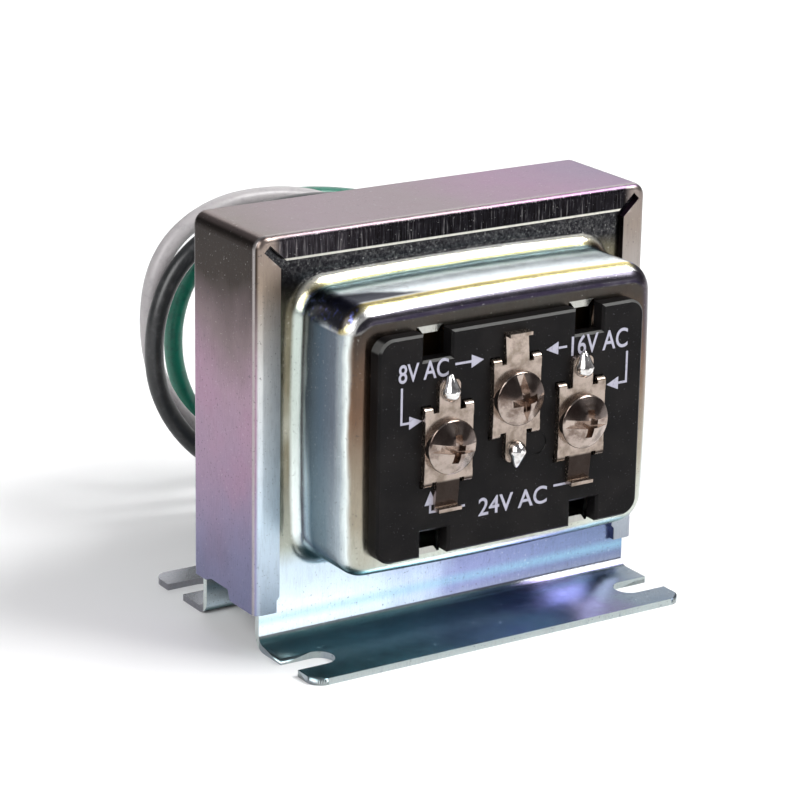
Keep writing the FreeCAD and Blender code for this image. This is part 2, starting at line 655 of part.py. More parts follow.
def wrap(name, low, high, holes):
    """Tape round a winding, pierced where wires leave it."""
    body = new_body(name)
    outline = sketch_on(body, "outline", "XY_Plane", low)
    rectangle(outline, "-(Place.coil_half + Size.wrap)", "Place.coil_half + Size.wrap",
              "-Place.wrap_deep", "Place.wrap_deep")
    solid = pad(body, "tape", outline, "%s - %s" % (high, low))
    half = value("Place.coil_half + Size.wrap")
    corners = soften(body, "corners", solid, "Size.coil_corner + Size.wrap",
                     lambda edge: runs_along(edge, "z") and near(abs(edge.BoundBox.XMin), half))
    hollow_out(body, "hollow", corners, "Size.wrap",
               lambda face: flat_in(face, "z", value(low)) or flat_in(face, "z", value(high)))
    for number, (rear, across, up, radius) in enumerate(holes):
        lift = "-Place.wrap_deep - 1" if rear else "Place.wrap_deep + 1"
        hole = sketch_on(body, "hole_outline_%d" % number, "XZ_Plane", lift)
        circle(hole, across, up, "%s + Size.tail_clear" % radius)
        pocket(body, "hole_%d" % number, hole, "2 + Size.wrap", forward=rear)
    return set_down(body)


def thermal_cutoff():
    """One-time cut-off against the primary's tape, in line with the black lead."""
    body = new_body("thermal_cutoff")
    high = "Place.black_high"
    path = bent_path(body, "wire_path", [("Place.coil_deep", "Place.cutoff_foot"),
                                         ("Place.cutoff_deep", "Place.cutoff_foot"),
                                         ("Place.cutoff_deep", high),
                                         ("Size.splice_start", high)],
                     "Size.cutoff_bend")
    section = sketch_on(body, "wire_section", "XZ_Plane", "-Place.coil_deep")
    circle(section, "0", "Place.cutoff_foot", "Size.cutoff_wire")
    pipe_along(body, "wire", section, path)
    case = sketch_on(body, "case_section", "XY_Plane", "Size.cutoff_low")
    circle(case, "0", "Place.cutoff_deep", "Size.cutoff_round")
    pad(body, "case", case, "Size.cutoff_tall")
    return set_down(body, "Place.black_side")


# Drawn covers

def cover_shell(name):
    """Flange with its foot, and the drawn dome, as seen from the front."""
    body = new_body(name)
    profile = sketch_on(body, "profile", "YZ_Plane")
    polygon(profile, [("-Place.flange_back", "Place.cover_top"), ("-Place.flange_back", "0"),
                      ("-Size.foot_reach", "0"), ("-Size.foot_reach", "Size.sheet"),
                      ("-Place.flange_face", "Size.sheet"),
                      ("-Place.flange_face", "Place.cover_top")])
    strip = pad(body, "strip", profile, "2 * Place.cover_half", middle=True)
    high = value("Place.cover_top")
    strip = soften(body, "flange_corners", strip, "Size.band_corner",
                   lambda edge: runs_along(edge, "y") and flat_in(edge, "z", high))
    back = -value("Place.flange_back")
    face = -value("Place.flange_face")
    thick = value("Size.sheet")
    inside = soften(body, "bend_inside", strip, "Size.foot_bend",
                    lambda edge: runs_along(edge, "x") and flat_in(edge, "y", face)
                    and flat_in(edge, "z", thick))
    soften(body, "bend_outside", inside, "Size.foot_bend + Size.sheet",
           lambda edge: runs_along(edge, "x") and flat_in(edge, "y", back)
           and flat_in(edge, "z", 0))
    drawn = sketch_on(body, "dome_outline", "XZ_Plane", "Place.flange_face - Size.sheet / 2")
    bowed_rectangle(drawn, "Place.dome_half", "Place.dome_tall", "Place.dome_high",
                    "Size.dome_bow", "Place.bow_wide", "Place.bow_tall")
    pad(body, "dome", drawn, "Size.dome_rise + Size.sheet / 2")
    hollow = sketch_on(body, "hollow_outline", "XZ_Plane", "Place.flange_back")
    bowed_rectangle(hollow, "Place.half_in", "Place.tall_in", "Place.dome_high",
                    "Size.dome_bow", "Place.bow_wide_in", "Place.bow_tall_in")
    cut = pocket(body, "hollow", hollow, "Place.plateau_in - Place.flange_back", forward=True)
    inner_test = dome_corner_test(value("Size.sheet"))
    corners = soften(body, "hollow_corners", cut, "Size.dome_corner - Size.sheet",
                     lambda edge: runs_along(edge, "y") and inner_test(edge))
    floor = -value("Place.plateau_in")
    last = soften(body, "hollow_rim", corners, "Size.dome_rim - Size.sheet",
                  lambda edge: flat_in(edge, "y", floor))
    outer_test = dome_corner_test(0)
    last = soften(body, "dome_corners", last, "Size.dome_corner",
                  lambda edge: runs_along(edge, "y") and outer_test(edge))
    top = -value("Place.plateau")
    last = soften(body, "dome_rim", last, "Size.dome_rim", lambda edge: flat_in(edge, "y", top))
    last = soften(body, "dome_root", last, "Size.dome_root",
                  lambda edge: flat_in(edge, "y", face) and within_dome(edge))
    soften(body, "hollow_mouth", last, "Size.dome_root + Size.sheet",
           lambda edge: flat_in(edge, "y", back) and within_dome(edge))
    foot_slots(body)
    return body


def dome_corner_test(inset):
    """Picks edges at the dome's corners, set in by the given amount."""
    half = value("Place.dome_half") - inset
    tall = value("Place.dome_tall") - inset
    middle = value("Place.dome_high")

    def at_corner(edge):
        centre = edge.CenterOfMass
        return near(abs(centre.x), half) and near(abs(centre.z - middle), tall)
    return at_corner


def within_dome(edge):
    """Whether an edge belongs to the dome's outline and not to the flange's."""
    box = edge.BoundBox
    half = value("(Place.cover_half + Place.dome_half + Size.dome_bow) / 2")
    top = value("(Place.cover_top + Place.dome_high + Place.dome_tall + Size.dome_bow) / 2")
    low = value("Place.dome_high - Place.dome_tall - Size.dome_bow - Size.dome_root") / 2
    return max(-box.XMin, box.XMax) < half and box.ZMax < top and box.ZMin > low


def foot_slots(body):
    """Open mounting slots at both ends of the foot, and its rounded prongs."""
    slots = sketch_on(body, "slot_outline", "XY_Plane", "-1")
    for side in ("-", ""):
        rectangle(slots, side + "(Place.cover_half - Size.slot_deep + Size.slot_wide / 2)",
                  side + "(Place.cover_half + 1)",
                  "-Size.slot_middle - Size.slot_wide / 2",
                  "-Size.slot_middle + Size.slot_wide / 2")
    pocket(body, "slots", slots, "2 + Size.sheet", forward=True)
    ends = sketch_on(body, "slot_ends", "XY_Plane", "-1")
    for side in ("-", ""):
        circle(ends, side + "(Place.cover_half - Size.slot_deep + Size.slot_wide / 2)",
               "-Size.slot_middle", "Size.slot_wide / 2")
    last = pocket(body, "slot_rounds", ends, "2 + Size.sheet", forward=True)
    reach = -value("Size.foot_reach")
    soften(body, "prongs", last, "Size.prong_round",
           lambda edge: runs_along(edge, "z") and flat_in(edge, "y", reach))


def front_cover():
    """Front cover: window for the board's boss, and four little tongues."""
    body = cover_shell("front_cover")
    window = sketch_on(body, "window_outline", "XZ_Plane", "Place.plateau + 1")
    rectangle(window, "-Size.window_half", "Size.window_half",
              "Size.board_high - Size.window_tall", "Size.board_high + Size.window_tall")
    pocket(body, "window", window, "2 + Size.sheet")
    slots = sketch_on(body, "tongue_slots", "XZ_Plane", "Place.plateau + 1")
    for side in ("-1", "1"):
        for rise in ("-1", "1"):
            tongue_slot(slots, side, rise)
    pocket(body, "tongues", slots, "2 + Size.sheet")
    return set_down(body)


def tongue_slot(sketch, side, rise):
    """Outline of one slot, with the tongue left standing in it."""
    middle = "%s * Size.notch_middle" % side
    out = "Size.board_high + %s * Size.slot_beyond" % rise
    tip = "Size.board_high + %s * (Size.slot_beyond - Size.tongue_long)" % rise
    inner = "Size.board_high + %s * (Size.window_tall - 1)" % rise
    wide = "Size.notch_wide / 2"
    polygon(sketch, [(middle + " - " + wide, inner), (middle + " - " + wide, out),
                     (middle + " - Size.tongue_root / 2", out),
                     (middle + " - Size.tongue_tip / 2", tip),
                     (middle + " + Size.tongue_tip / 2", tip),
                     (middle + " + Size.tongue_root / 2", out),
                     (middle + " + " + wide, out), (middle + " + " + wide, inner)])


def rear_cover():
    """The same cover turned round, with the hub's hole and the ground rivet's."""
    body = cover_shell("rear_cover")
    holes = sketch_on(body, "hub_hole", "XZ_Plane", "Place.plateau + 1")
    circle(holes, "0", "Place.hub_high", "Size.hub_spigot + Size.hub_play")
    circle(holes, "-Place.rivet_side", "Place.green_high", "Size.rivet_round + Size.rivet_play")
    pocket(body, "holes", holes, "2 + Size.sheet")
    body.Placement.Rotation = Rotation(Vector(0, 0, 1), 180)
    return set_down(body)


# Terminal board

def terminal_board():
    """Moulded board with notches, a rear boss and the holes for its terminals."""
    body = new_body("terminal_board")
    outline = sketch_on(body, "outline", "XZ_Plane", "Place.plateau")
    rectangle(outline, "-Size.board_half", "Size.board_half",
              "Size.board_high - Size.board_tall", "Size.board_high + Size.board_tall")
    slab = pad(body, "slab", outline, "Size.board_thick")
    corners = soften(body, "corners", slab, "Size.board_corner",
                     lambda edge: runs_along(edge, "y"))
    notches = sketch_on(body, "notch_outline", "XZ_Plane", "Place.board_face + 1")
    for side in ("-1", "1"):
        for rise in ("-1", "1"):
            middle = "%s * Size.notch_middle" % side
            rectangle(notches, middle + " - Size.notch_wide / 2",
                      middle + " + Size.notch_wide / 2",
                      "Size.board_high + %s * (Size.board_tall - Size.notch_deep)" % rise,
                      "Size.board_high + %s * (Size.board_tall + 1)" % rise)
    notched = pocket(body, "notches", notches, "2 + Size.board_thick")
    face = -value("Place.board_face")
    soften(body, "bevel", notched, "Size.board_bevel",
           lambda edge: flat_in(edge, "y", face), kind="Chamfer")
    back = sketch_on(body, "boss_outline", "XZ_Plane", "Place.boss_back")
    half = "Size.window_half - Size.boss_clear"
    tall = "(Size.window_tall - Size.boss_clear)"
    rectangle(back, "-(%s)" % half, half, "Size.board_high - " + tall,
              "Size.board_high + " + tall)
    pad(body, "boss", back, "Size.boss_deep + Size.board_thick / 2")
    board_holes(body)
    mark = sketch_on(body, "mark_outline", "XZ_Plane", "Place.board_face + 1")
    circle(mark, "Size.mark_side", "Size.mark_high", "Size.mark_round")
    pocket(body, "mark", mark, "1 + Size.mark_deep")
    return set_down(body)


TERMINALS = (("left", "-Size.pitch", "Size.outer_high", 1),
             ("centre", "0", "Size.centre_high", -1),
             ("right", "Size.pitch", "Size.outer_high", 1))


def board_holes(body):
    """Holes through the board for collars, legs and tails."""
    rounds = sketch_on(body, "round_holes", "XZ_Plane", "Place.board_face + 1")
    legs = sketch_on(body, "leg_holes", "XZ_Plane", "Place.board_face + 1")
    edge = "Size.plate_tall / 2"
    for name, across, up, sense in TERMINALS:
        circle(rounds, across, up, "Size.collar_round + Size.board_play")
        circle(rounds, across, "%s + %d * Place.lug_from_axis" % (up, sense),
               "Size.tail_round + Size.board_play")
        for side in ("-", "+"):
            for rise in (-1, 1):
                middle = "%s %s Size.leg_side" % (across, side)
                inner = "%s + %d * (%s + Size.leg_out - Size.plate_thick - Size.board_play)"
                outer = "%s + %d * (%s + Size.leg_out + Size.board_play)"
                rectangle(legs, middle + " - Size.leg_wide / 2 - Size.board_play",
                          middle + " + Size.leg_wide / 2 + Size.board_play",
                          inner % (up, rise, edge), outer % (up, rise, edge))
    pocket(body, "rounds", rounds, "2 + Place.terminal_back")
    pocket(body, "leg_slots", legs, "2 + Place.terminal_back")


def terminal(name, across, up, sense):
    """Pressed terminal about its screw's axis: plate, legs, solder lug, wire stop."""
    body = new_body("terminal_" + name)
    outline = sketch_on(body, "plate_outline", "XZ_Plane")
    rectangle(outline, "-Size.plate_wide / 2", "Size.plate_wide / 2",
              "-Size.plate_tall / 2", "Size.plate_tall / 2")
    lug_outline = sketch_on(body, "lug_outline", "XZ_Plane")
    pad(body, "plate", outline, "Size.plate_thick")
    rectangle(lug_outline, "-Size.lug_wide / 2", "Size.lug_wide / 2",
              "Size.plate_tall / 2 - 1", "Size.plate_tall / 2 + Size.lug_long")
    lug = pad(body, "lug", lug_outline, "Size.plate_thick")
    end = value("Size.plate_tall / 2 + Size.lug_long")
    soften(body, "lug_end", lug, "Size.lug_wide / 4",
           lambda edge: runs_along(edge, "y") and flat_in(edge, "z", end))
    stop = sketch_on(body, "stop_profile", "YZ_Plane")
    root = "-Size.plate_tall / 2"
    tip = root + " - Size.tab_long"
    fallen = "-Size.plate_thick + Size.tab_slope"
    front = "-Size.plate_thick + Size.tab_slope - Size.tab_lip"
    polygon(stop, [("0", root + " + 1"), ("0", tip), (front, tip),
                   (front, tip + " + Size.tab_lip_thick"),
                   (fallen, tip + " + Size.tab_lip_thick"),
                   ("-Size.plate_thick", root), ("-Size.plate_thick", root + " + 1")])
    pad(body, "stop", stop, "Size.tab_wide", middle=True)
    for side in ("-", ""):
        for rise in ("-", ""):
            leg(body, side, rise)
    collar = sketch_on(body, "collar_outline", "XZ_Plane", "-Size.collar_long")
    circle(collar, "0", "0", "Size.collar_round")
    pad(body, "collar", collar, "Size.collar_long + Size.plate_thick / 2")
    holes = sketch_on(body, "hole_outline", "XZ_Plane", "Size.plate_thick + 1")
    circle(holes, "0", "0", "Size.screw_round + Size.screw_clear")
    circle(holes, "0", "Place.lug_from_axis", "Size.tail_round + Size.board_play")
    pocket(body, "holes", holes, "2 + Size.plate_thick + Size.collar_long")
    if sense < 0:
        body.Placement.Rotation = Rotation(Vector(0, 1, 0), 180)
    return set_down(body, across, "-Place.board_face", up)


def leg(body, side, rise):
    """One leg: bent back through the board and clinched over behind the boss."""
    name = "leg_%s_%s" % ("left" if side else "right", "low" if rise else "high")
    profile = sketch_on(body, name + "_profile", "YZ_Plane", side + "Size.leg_side")
    far = "(Size.plate_tall / 2 + Size.leg_out)"
    near_edge = "(Size.plate_tall / 2 + Size.leg_out - Size.plate_thick)"
    turned = "(Size.plate_tall / 2 + Size.leg_out + Size.clinch)"
    end = "Place.terminal_back + Size.clinch_thick"
    polygon(profile, [("-Size.plate_thick", rise + "(Size.plate_tall / 2 - 1)"),
                      ("-Size.plate_thick", rise + far), ("Place.terminal_back", rise + far),
                      ("Place.terminal_back", rise + turned), (end, rise + turned),
                      (end, rise + near_edge), ("0", rise + near_edge),
                      ("0", rise + "(Size.plate_tall / 2 - 1)")])
    solid = pad(body, name, profile, "Size.leg_wide", middle=True)
    middle = value(side + "Size.leg_side")
    outer = value(rise + far)
    front = -value("Size.plate_thick")
    soften(body, name + "_bend", solid, "Size.leg_round",
           lambda edge: runs_along(edge, "x") and flat_in(edge, "y", front)
           and flat_in(edge, "z", outer) and near(edge.CenterOfMass.x, middle))


def terminal_screw(name, across, up, turn):
    """Binding-head screw, slot and cross recess, about its own axis."""
    body = new_body("screw_" + name)
    profile = sketch_on(body, "profile", "YZ_Plane")
    crown = "-(Size.head_side + Size.head_dome)"
    polygon(profile, [("Size.screw_long", "0"), (crown, "0"), (crown, "Size.head_round / 3"),
                      ("-Size.head_side", "Size.head_round"), ("0", "Size.head_round"),
                      ("0", "Size.screw_round"),
                      ("Size.screw_long - Size.screw_round / 2", "Size.screw_round"),
                      ("Size.screw_long", "Size.screw_round / 2")])
    turned = revolve(body, "turned", profile)
    shoulder = -value("Size.head_side + Size.head_dome")
    side = -value("Size.head_side")
    crowned = soften(body, "crown", turned, "Size.head_round * 0.8",
                     lambda edge: flat_in(edge, "y", shoulder))
    soften(body, "rim", crowned, "Size.head_side / 3",
           lambda edge: flat_in(edge, "y", side))
    slot = sketch_on(body, "slot_outline", "XZ_Plane",
                     "Size.head_side + Size.head_dome - Size.slot_cut")
    rectangle(slot, "-2 * Size.head_round", "2 * Size.head_round", "-Size.slot_in_head / 2",
              "Size.slot_in_head / 2")
    pocket(body, "slot", slot, "2 * Size.slot_cut", forward=True)
    cross = sketch_on(body, "cross_outline", "XZ_Plane",
                      "Size.head_side + Size.head_dome - Size.cross_cut")
    arm = "Size.cross_wide / 2"
    tip = "Size.cross_long / 2"
    polygon(cross, [("-" + arm, "-" + tip), (arm, "-" + tip), (arm, "-" + arm),
                    (tip, "-" + arm), (tip, arm), (arm, arm), (arm, tip), ("-" + arm, tip),
                    ("-" + arm, arm), ("-" + tip, arm), ("-" + tip, "-" + arm),
                    ("-" + arm, "-" + arm)])
    pocket(body, "cross", cross, "2 * Size.cross_cut", forward=True)
    body.Placement.Rotation = Rotation(Vector(0, 1, 0), turn)
    return set_down(body, across, "-Place.plate_face", up)


def solder_joint(name, across, up, slump):
    """Solder on a lug round the end of its tail."""
    body = new_body("solder_" + name)
    profile = sketch_on(body, "profile", "YZ_Plane")
    high = "-Size.solder_high"
    polygon(profile, [("0", "0"), (high, "0"), (high, "Size.solder_round * %s" % slump),
                      ("-Size.solder_high / 3", "Size.solder_round * 0.9"),
                      ("0", "Size.solder_round")])
    blob = revolve(body, "blob", profile)
    peak = -value("Size.solder_high")
    soften(body, "peak", blob, "Size.solder_round * %s * 0.9" % slump,
           lambda edge: flat_in(edge, "y", peak))
    tail = sketch_on(body, "tail_outline", "XZ_Plane", "-1")
    circle(tail, "0", "0", "Size.tail_round")
    pocket(body, "tail_seat", tail, "1 + Place.tail_tip - Place.plate_face", forward=True)
    return set_down(body, across, "-Place.plate_face", up)


# Rear hub and supply leads

def hub():
    """Half-inch conduit hub: shoulder, thread, spigot and the collar swaged inside."""
    body = new_body("hub")
    profile = sketch_on(body, "profile", "YZ_Plane")
    inside = "Place.plateau_in - Size.hub_collar_thick"
    polygon(profile, [(inside, "Size.hub_bore"), (inside, "Size.hub_collar"),
                      ("Place.plateau_in", "Size.hub_collar"),
                      ("Place.plateau_in", "Size.hub_spigot"),
                      ("Place.plateau", "Size.hub_spigot"), ("Place.plateau", "Size.hub_flange"),
                      ("Place.hub_base", "Size.hub_flange"), ("Place.hub_base", "Size.hub_round"),
                      ("Place.hub_mouth - Size.hub_lead", "Size.hub_round"),
                      ("Place.hub_mouth", "Size.hub_round - Size.hub_lead"),
                      ("Place.hub_mouth", "Size.hub_bore")])
    revolve(body, "turned", profile)
    return set_down(body, up="Place.hub_high")


def locknut():
    """Conduit locknut with notches round its rim, dished teeth left flat."""
    body = new_body("locknut")
    start = "Place.hub_base + Size.nut_from_shoulder"
    outline = sketch_on(body, "outline", "XZ_Plane", "-(%s)" % start)
    circle(outline, "0", "0", "Size.nut_round")
    circle(outline, "0", "0", "Size.hub_round + Size.nut_play")
    pad(body, "ring", outline, "Size.nut_thick", back=True)
    notch = sketch_on(body, "notch_outline", "XZ_Plane", "-(%s)" % start)
    rectangle(notch, "-Size.nut_notch / 2", "Size.nut_notch / 2",
              "Size.nut_round - Size.nut_notch_deep", "Size.nut_round + 1")
    cut = pocket(body, "notch", notch, "Size.nut_thick")
    pattern = body.newObject("PartDesign::PolarPattern", "locknut_notches")
    pattern.Originals = [cut]
    pattern.Axis = (notch, ["N_Axis"])
    pattern.Angle = 360
    pattern.setExpression("Occurrences", "Size.nut_teeth")
    body.Tip = pattern
    return set_down(body, up="Place.hub_high")


def lead_bushing():
    """Insulating bushing in the hub's mouth, with a hole for each lead."""
    body = new_body("lead_bushing")
    profile = sketch_on(body, "profile", "YZ_Plane")
    inner = "Place.hub_mouth - Size.bushing_long"
    outer = "Place.hub_mouth + Size.bushing_lip_thick"
    seat = "Size.hub_bore - Size.bushing_play"
    polygon(profile, [(inner, "0"), (inner, seat), ("Place.hub_mouth", seat),
                      ("Place.hub_mouth", "Size.bushing_lip"), (outer, "Size.bushing_lip"),
                      (outer, "0")])
    revolve(body, "turned", profile)
    holes = sketch_on(body, "lead_holes", "XZ_Plane", "-(%s) - 1" % outer)
    for colour in ("white", "black", "green"):
        circle(holes, "Place.%s_side" % colour, "Place.%s_high - Place.hub_high" % colour,
               "Size.lead_round + Size.lead_play")
    pocket(body, "holes", holes, "2 + Size.bushing_long + Size.bushing_lip_thick", forward=True)
    return set_down(body, up="Place.hub_high")


def splice(colour):
    """Crimped barrel that joins a lead to its wire."""
    body = new_body("splice_" + colour)
    section = sketch_on(body, "section", "XZ_Plane", "-Size.splice_start")
    circle(section, "Place.%s_side" % colour, "Place.%s_high" % colour, "Size.splice_round")
    barrel = pad(body, "barrel", section, "Size.splice_long", back=True)
    soften(body, "ends", barrel, "Size.splice_round / 5",
           lambda edge: edge.BoundBox.YLength < 1e-4)
    return set_down(body)


def ground_terminal():
    """Barrel on the green lead, with a tongue that steps over to the cover."""
    body = new_body("ground_terminal")
    section = sketch_on(body, "section", "XZ_Plane", "-Size.splice_start")
    circle(section, "Place.green_side", "Place.green_high", "Size.splice_round")
    pad(body, "barrel", section, "Size.splice_long", back=True)
    profile = sketch_on(body, "tongue_profile", "XY_Plane", "Place.green_high")
    over = "Place.plateau_in - Size.hub_collar_thick"
    low = over + " - Size.ground_thick"
    bent = "Size.ground_joggle + Size.ground_thick"
    polygon(profile, [("Place.green_side", low), ("Size.ground_joggle", low),
                      (bent, "Place.plateau_in - Size.ground_thick"),
                      ("Place.ground_end", "Place.plateau_in - Size.ground_thick"),
                      ("Place.ground_end", "Place.plateau_in"),
                      ("Size.ground_joggle + Size.ground_thick / 2", "Place.plateau_in"),
                      ("Size.ground_joggle - Size.ground_thick / 4", over),
                      ("Place.green_side", over)])
    pad(body, "tongue", profile, "Size.ground_wide", middle=True)
    hole = sketch_on(body, "rivet_hole", "XZ_Plane", "-Place.plateau_in + 2")
    circle(hole, "Place.rivet_side", "Place.green_high", "Size.rivet_round + Size.rivet_play")
    pocket(body, "hole", hole, "3", forward=False)
    return set_down(body)


def ground_rivet():
    """Rivet that holds the ground tongue to the rear cover, headed on both sides."""
    body = new_body("ground_rivet")
    profile = sketch_on(body, "profile", "YZ_Plane")
    inner = "Place.plateau_in - Size.ground_thick"
    polygon(profile, [(inner + " - Size.rivet_high", "0"),
                      (inner + " - Size.rivet_high", "Size.rivet_head / 2"),
                      (inner, "Size.rivet_head"), (inner, "Size.rivet_round"),
                      ("Place.plateau", "Size.rivet_round"), ("Place.plateau", "Size.rivet_head"),
                      ("Place.plateau + Size.rivet_high", "Size.rivet_head / 2"),
                      ("Place.plateau + Size.rivet_high", "0")])
    turned = revolve(body, "turned", profile)
    ends = [value(inner + " - Size.rivet_high"), value("Place.plateau + Size.rivet_high")]
    soften(body, "heads", turned, "Size.rivet_high * 0.8",
           lambda edge: flat_in(edge, "y", ends[0]) or flat_in(edge, "y", ends[1]))
    return set_down(body, "Place.rivet_side", "0", "Place.green_high")


def lead(colour):
    """Insulated lead: straight runs joined by tangent arcs, as a plain round tube."""
    across = value("Place.%s_side" % colour)
    up = value("Place.%s_high" % colour)
    start = Vector(across, value("Place.lead_start"), up)
    points = [start, Vector(across, EXIT_REACH[colour], up)]
    points += [Vector(*point) for point in ROUTES[colour]]
    radii = []
    for number in range(1, len(points) - 1):
        before = points[number] - points[number - 1]
        after = points[number + 1] - points[number]
        turn = before.getAngle(after)
        shorter = min(before.Length, after.Length)
        radii.append(ARC_SHARE * shorter / math.tan(turn / 2))
    wire = Part.Wire([piece.toShape() for piece in rounded_path(points, radii)])
    radius = value("Size.lead_round")
    section = Part.Wire([Part.Circle(start, Vector(0, 1, 0), radius).toShape()])
    tube = wire.makePipeShell([section], True, False)
    feature = doc.addObject("Part::Feature", "lead_" + colour)
    feature.Label = "lead_" + colour
    feature.Shape = tube
    set_down(feature)
    expected = math.pi * radius ** 2 * wire.Length
    print("lead", colour, "length %.1f" % wire.Length,
          "volume ratio %.4f" % (tube.Volume / expected),
          "radii", " ".join("%.1f" % radius for radius in radii))
    return feature, points


def conductor_end(colour, points):
    """Stripped copper at a lead's end."""
    piece = doc.addObject("Part::Cylinder", "conductor_" + colour)
    piece.Label = "conductor_" + colour
    piece.setExpression("Radius", "Size.strip_round")
    piece.setExpression("Height", "Size.strip_long")
    end = points[-1]
    piece.Placement.Rotation = Rotation(Vector(0, 0, 1), end - points[-2])
    return set_down(piece, "%g" % end.x, "%g" % end.y, "%g" % end.z)


# Whole transformer

def build():
    """Every piece, in the order in which the product is put together."""
    pieces = [e_core(), i_core(), bobbin(), primary_winding(), secondary_winding()]
    pieces.append(wrap("primary_wrap", "Place.primary_low", "Place.primary_high",
                       [(True, "Place.white_side", "Place.white_high", "Size.tail_round"),
                        (True, "Place.black_side", "Place.cutoff_foot", "Size.cutoff_wire")]))
    pieces.append(wrap("secondary_wrap", "Place.secondary_low", "Place.secondary_high",
                       [(False, "-Size.pitch", "Place.lug_high_outer", "Size.tail_round"),
                        (False, "Size.pitch", "Place.lug_high_outer", "Size.tail_round"),
                        (False, "0", "Size.tail_top", "Size.tail_round")]))
    pieces.append(thermal_cutoff())
    pieces += [band(), front_cover(), rear_cover(), terminal_board()]
    turns = {"left": 7, "centre": 84, "right": 4}
    slumps = {"left": "0.3", "centre": "0.7", "right": "0.3"}
    for name, across, up, sense in TERMINALS:
        pieces.append(terminal(name, across, up, sense))
        pieces.append(terminal_screw(name, across, up, turns[name]))
        lug = "%s + %d * Place.lug_from_axis" % (up, sense)
        pieces.append(solder_joint(name, across, lug, slumps[name]))
    pieces += [hub(), locknut(), lead_bushing(), splice("white"), splice("black")]
    pieces += [ground_terminal(), ground_rivet()]
    for colour in ("white", "black", "green"):
        tube, points = lead(colour)
        pieces.append(tube)
        pieces.append(conductor_end(colour, points))
    return pieces


def write(pieces):
    """Checks the whole document, then writes one STEP file for each piece."""
    for item in doc.Objects:
        if "Invalid" in item.State or "Error" in item.State:
            raise RuntimeError(item.Name + " failed")
    for piece in pieces:
        if piece.Shape.isNull() or not piece.Shape.isValid():
            raise RuntimeError(piece.Label + " has no valid shape")
    os.makedirs("parts", exist_ok=True)
    for piece in pieces:
        piece.Shape.exportStep(os.path.join("parts", piece.Label + ".step"))
        print(piece.Label, len(piece.Shape.Solids), "volume %.1f" % piece.Shape.Volume)


fill(size, SIZES)
doc.recompute()
fill(place, PLACES)
doc.recompute()
pieces = build()
doc.recompute()
write(pieces)
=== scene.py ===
import math

import bmesh
import bpy
from mathutils import Matrix, Vector


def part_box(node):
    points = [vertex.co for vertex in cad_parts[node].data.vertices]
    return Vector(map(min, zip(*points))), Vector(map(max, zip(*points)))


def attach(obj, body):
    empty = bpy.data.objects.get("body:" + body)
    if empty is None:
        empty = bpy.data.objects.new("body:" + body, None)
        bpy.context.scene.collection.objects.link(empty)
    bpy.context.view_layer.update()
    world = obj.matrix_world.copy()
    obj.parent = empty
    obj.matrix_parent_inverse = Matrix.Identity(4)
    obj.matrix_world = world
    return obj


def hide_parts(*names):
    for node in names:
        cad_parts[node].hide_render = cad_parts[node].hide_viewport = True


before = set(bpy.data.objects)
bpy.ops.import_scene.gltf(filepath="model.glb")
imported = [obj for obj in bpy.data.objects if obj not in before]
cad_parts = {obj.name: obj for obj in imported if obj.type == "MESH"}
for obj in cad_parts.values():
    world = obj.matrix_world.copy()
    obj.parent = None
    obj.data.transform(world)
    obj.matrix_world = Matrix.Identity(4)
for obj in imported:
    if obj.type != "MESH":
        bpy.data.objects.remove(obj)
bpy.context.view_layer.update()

# Sizes are in millimetres here, and become metres where a mesh, curve or light is made.
MM = 0.001
MIDDLE = 2.9          # the core's middle lies this far in front of the frame's origin

# the core's two stacks of sheets
STACK = 12.7          # depth of a stack
SHEETS = 25
SHEET_SHARE = 0.94    # how much of its pitch a sheet fills
CORE_HALF = 28.575
CORE_LOW = 6.2
CORE_TOP = 53.825
YOKE = 9.525
CORNER_CUT = 0.5

# the band and the drawn covers
LIP_LOW = 51.375      # lower edge of the band's top lip
FLANGE_OUT = 7.25     # a cover's flange, from the core's middle
DOME_DEEP = 12.15     # from there to the dome's flat
DOME_FLAT = -22.3     # the front dome's flat
SLOT_MIDDLE = 11.45
SLOT_HALF = 2.04
SLOT_START = 12.0     # from the board's middle
SLOT_END = 14.9
TONGUE_LONG = 0.8
TINT_HALF = 30.0      # the steel's tints run from this far on the left to this far on the right
TINT_TOP = 56.0       # and from the floor to this height

# the terminal board and its print
BOARD_HIGH = 29.0     # height of the board's middle
BOARD_FACE = -24.3
PRINT_THICK = 0.02
PRINT_LINE = 0.30     # width of a printed line
HEAD_LONG = 1.85      # an arrow's head
HEAD_HALF = 0.85

# the hub and its thread
HUB_HIGH = 29.35      # height of the hub's axis
HUB_BORE = 7.9
THREAD_ROOT = 9.55
THREAD_OUT = 10.48
THREAD_RIDGE = 0.72   # the ridge's half thickness
THREAD_START = 18.3
THREAD_LONG = 7.4
THREAD_TURNS = 4.2

# the leads
LEAD = 2.7            # over the insulation
STRAND = 0.26         # half the thickness of one strand
STRANDS = 6           # round the middle one
LAY = 0.8             # turns of the strands in the bared end
STRIP = 9.0           # the bared end


# ---------------------------------------------------------------- nodes

def add_node(tree, kind, settings=None, values=None):
    """A node: its settings first, and then a value or a link for each socket that is named."""
    made = tree.nodes.new(kind)
    for setting, value in (settings or {}).items():
        if setting == "stops":
            set_stops(made.color_ramp, value)
        else:
            setattr(made, setting, value)
    for socket, value in (values or {}).items():
        feed_socket(tree, made.inputs[socket], value)
    return made


def feed_socket(tree, socket, value):
    if isinstance(value, Wire):
        value = value.socket
    if isinstance(value, bpy.types.NodeSocket):
        tree.links.new(value, socket)
    elif isinstance(value, tuple) and len(value) == 3 and socket.type == "RGBA":
        socket.default_value = (*value, 1.0)
    else:
        socket.default_value = value


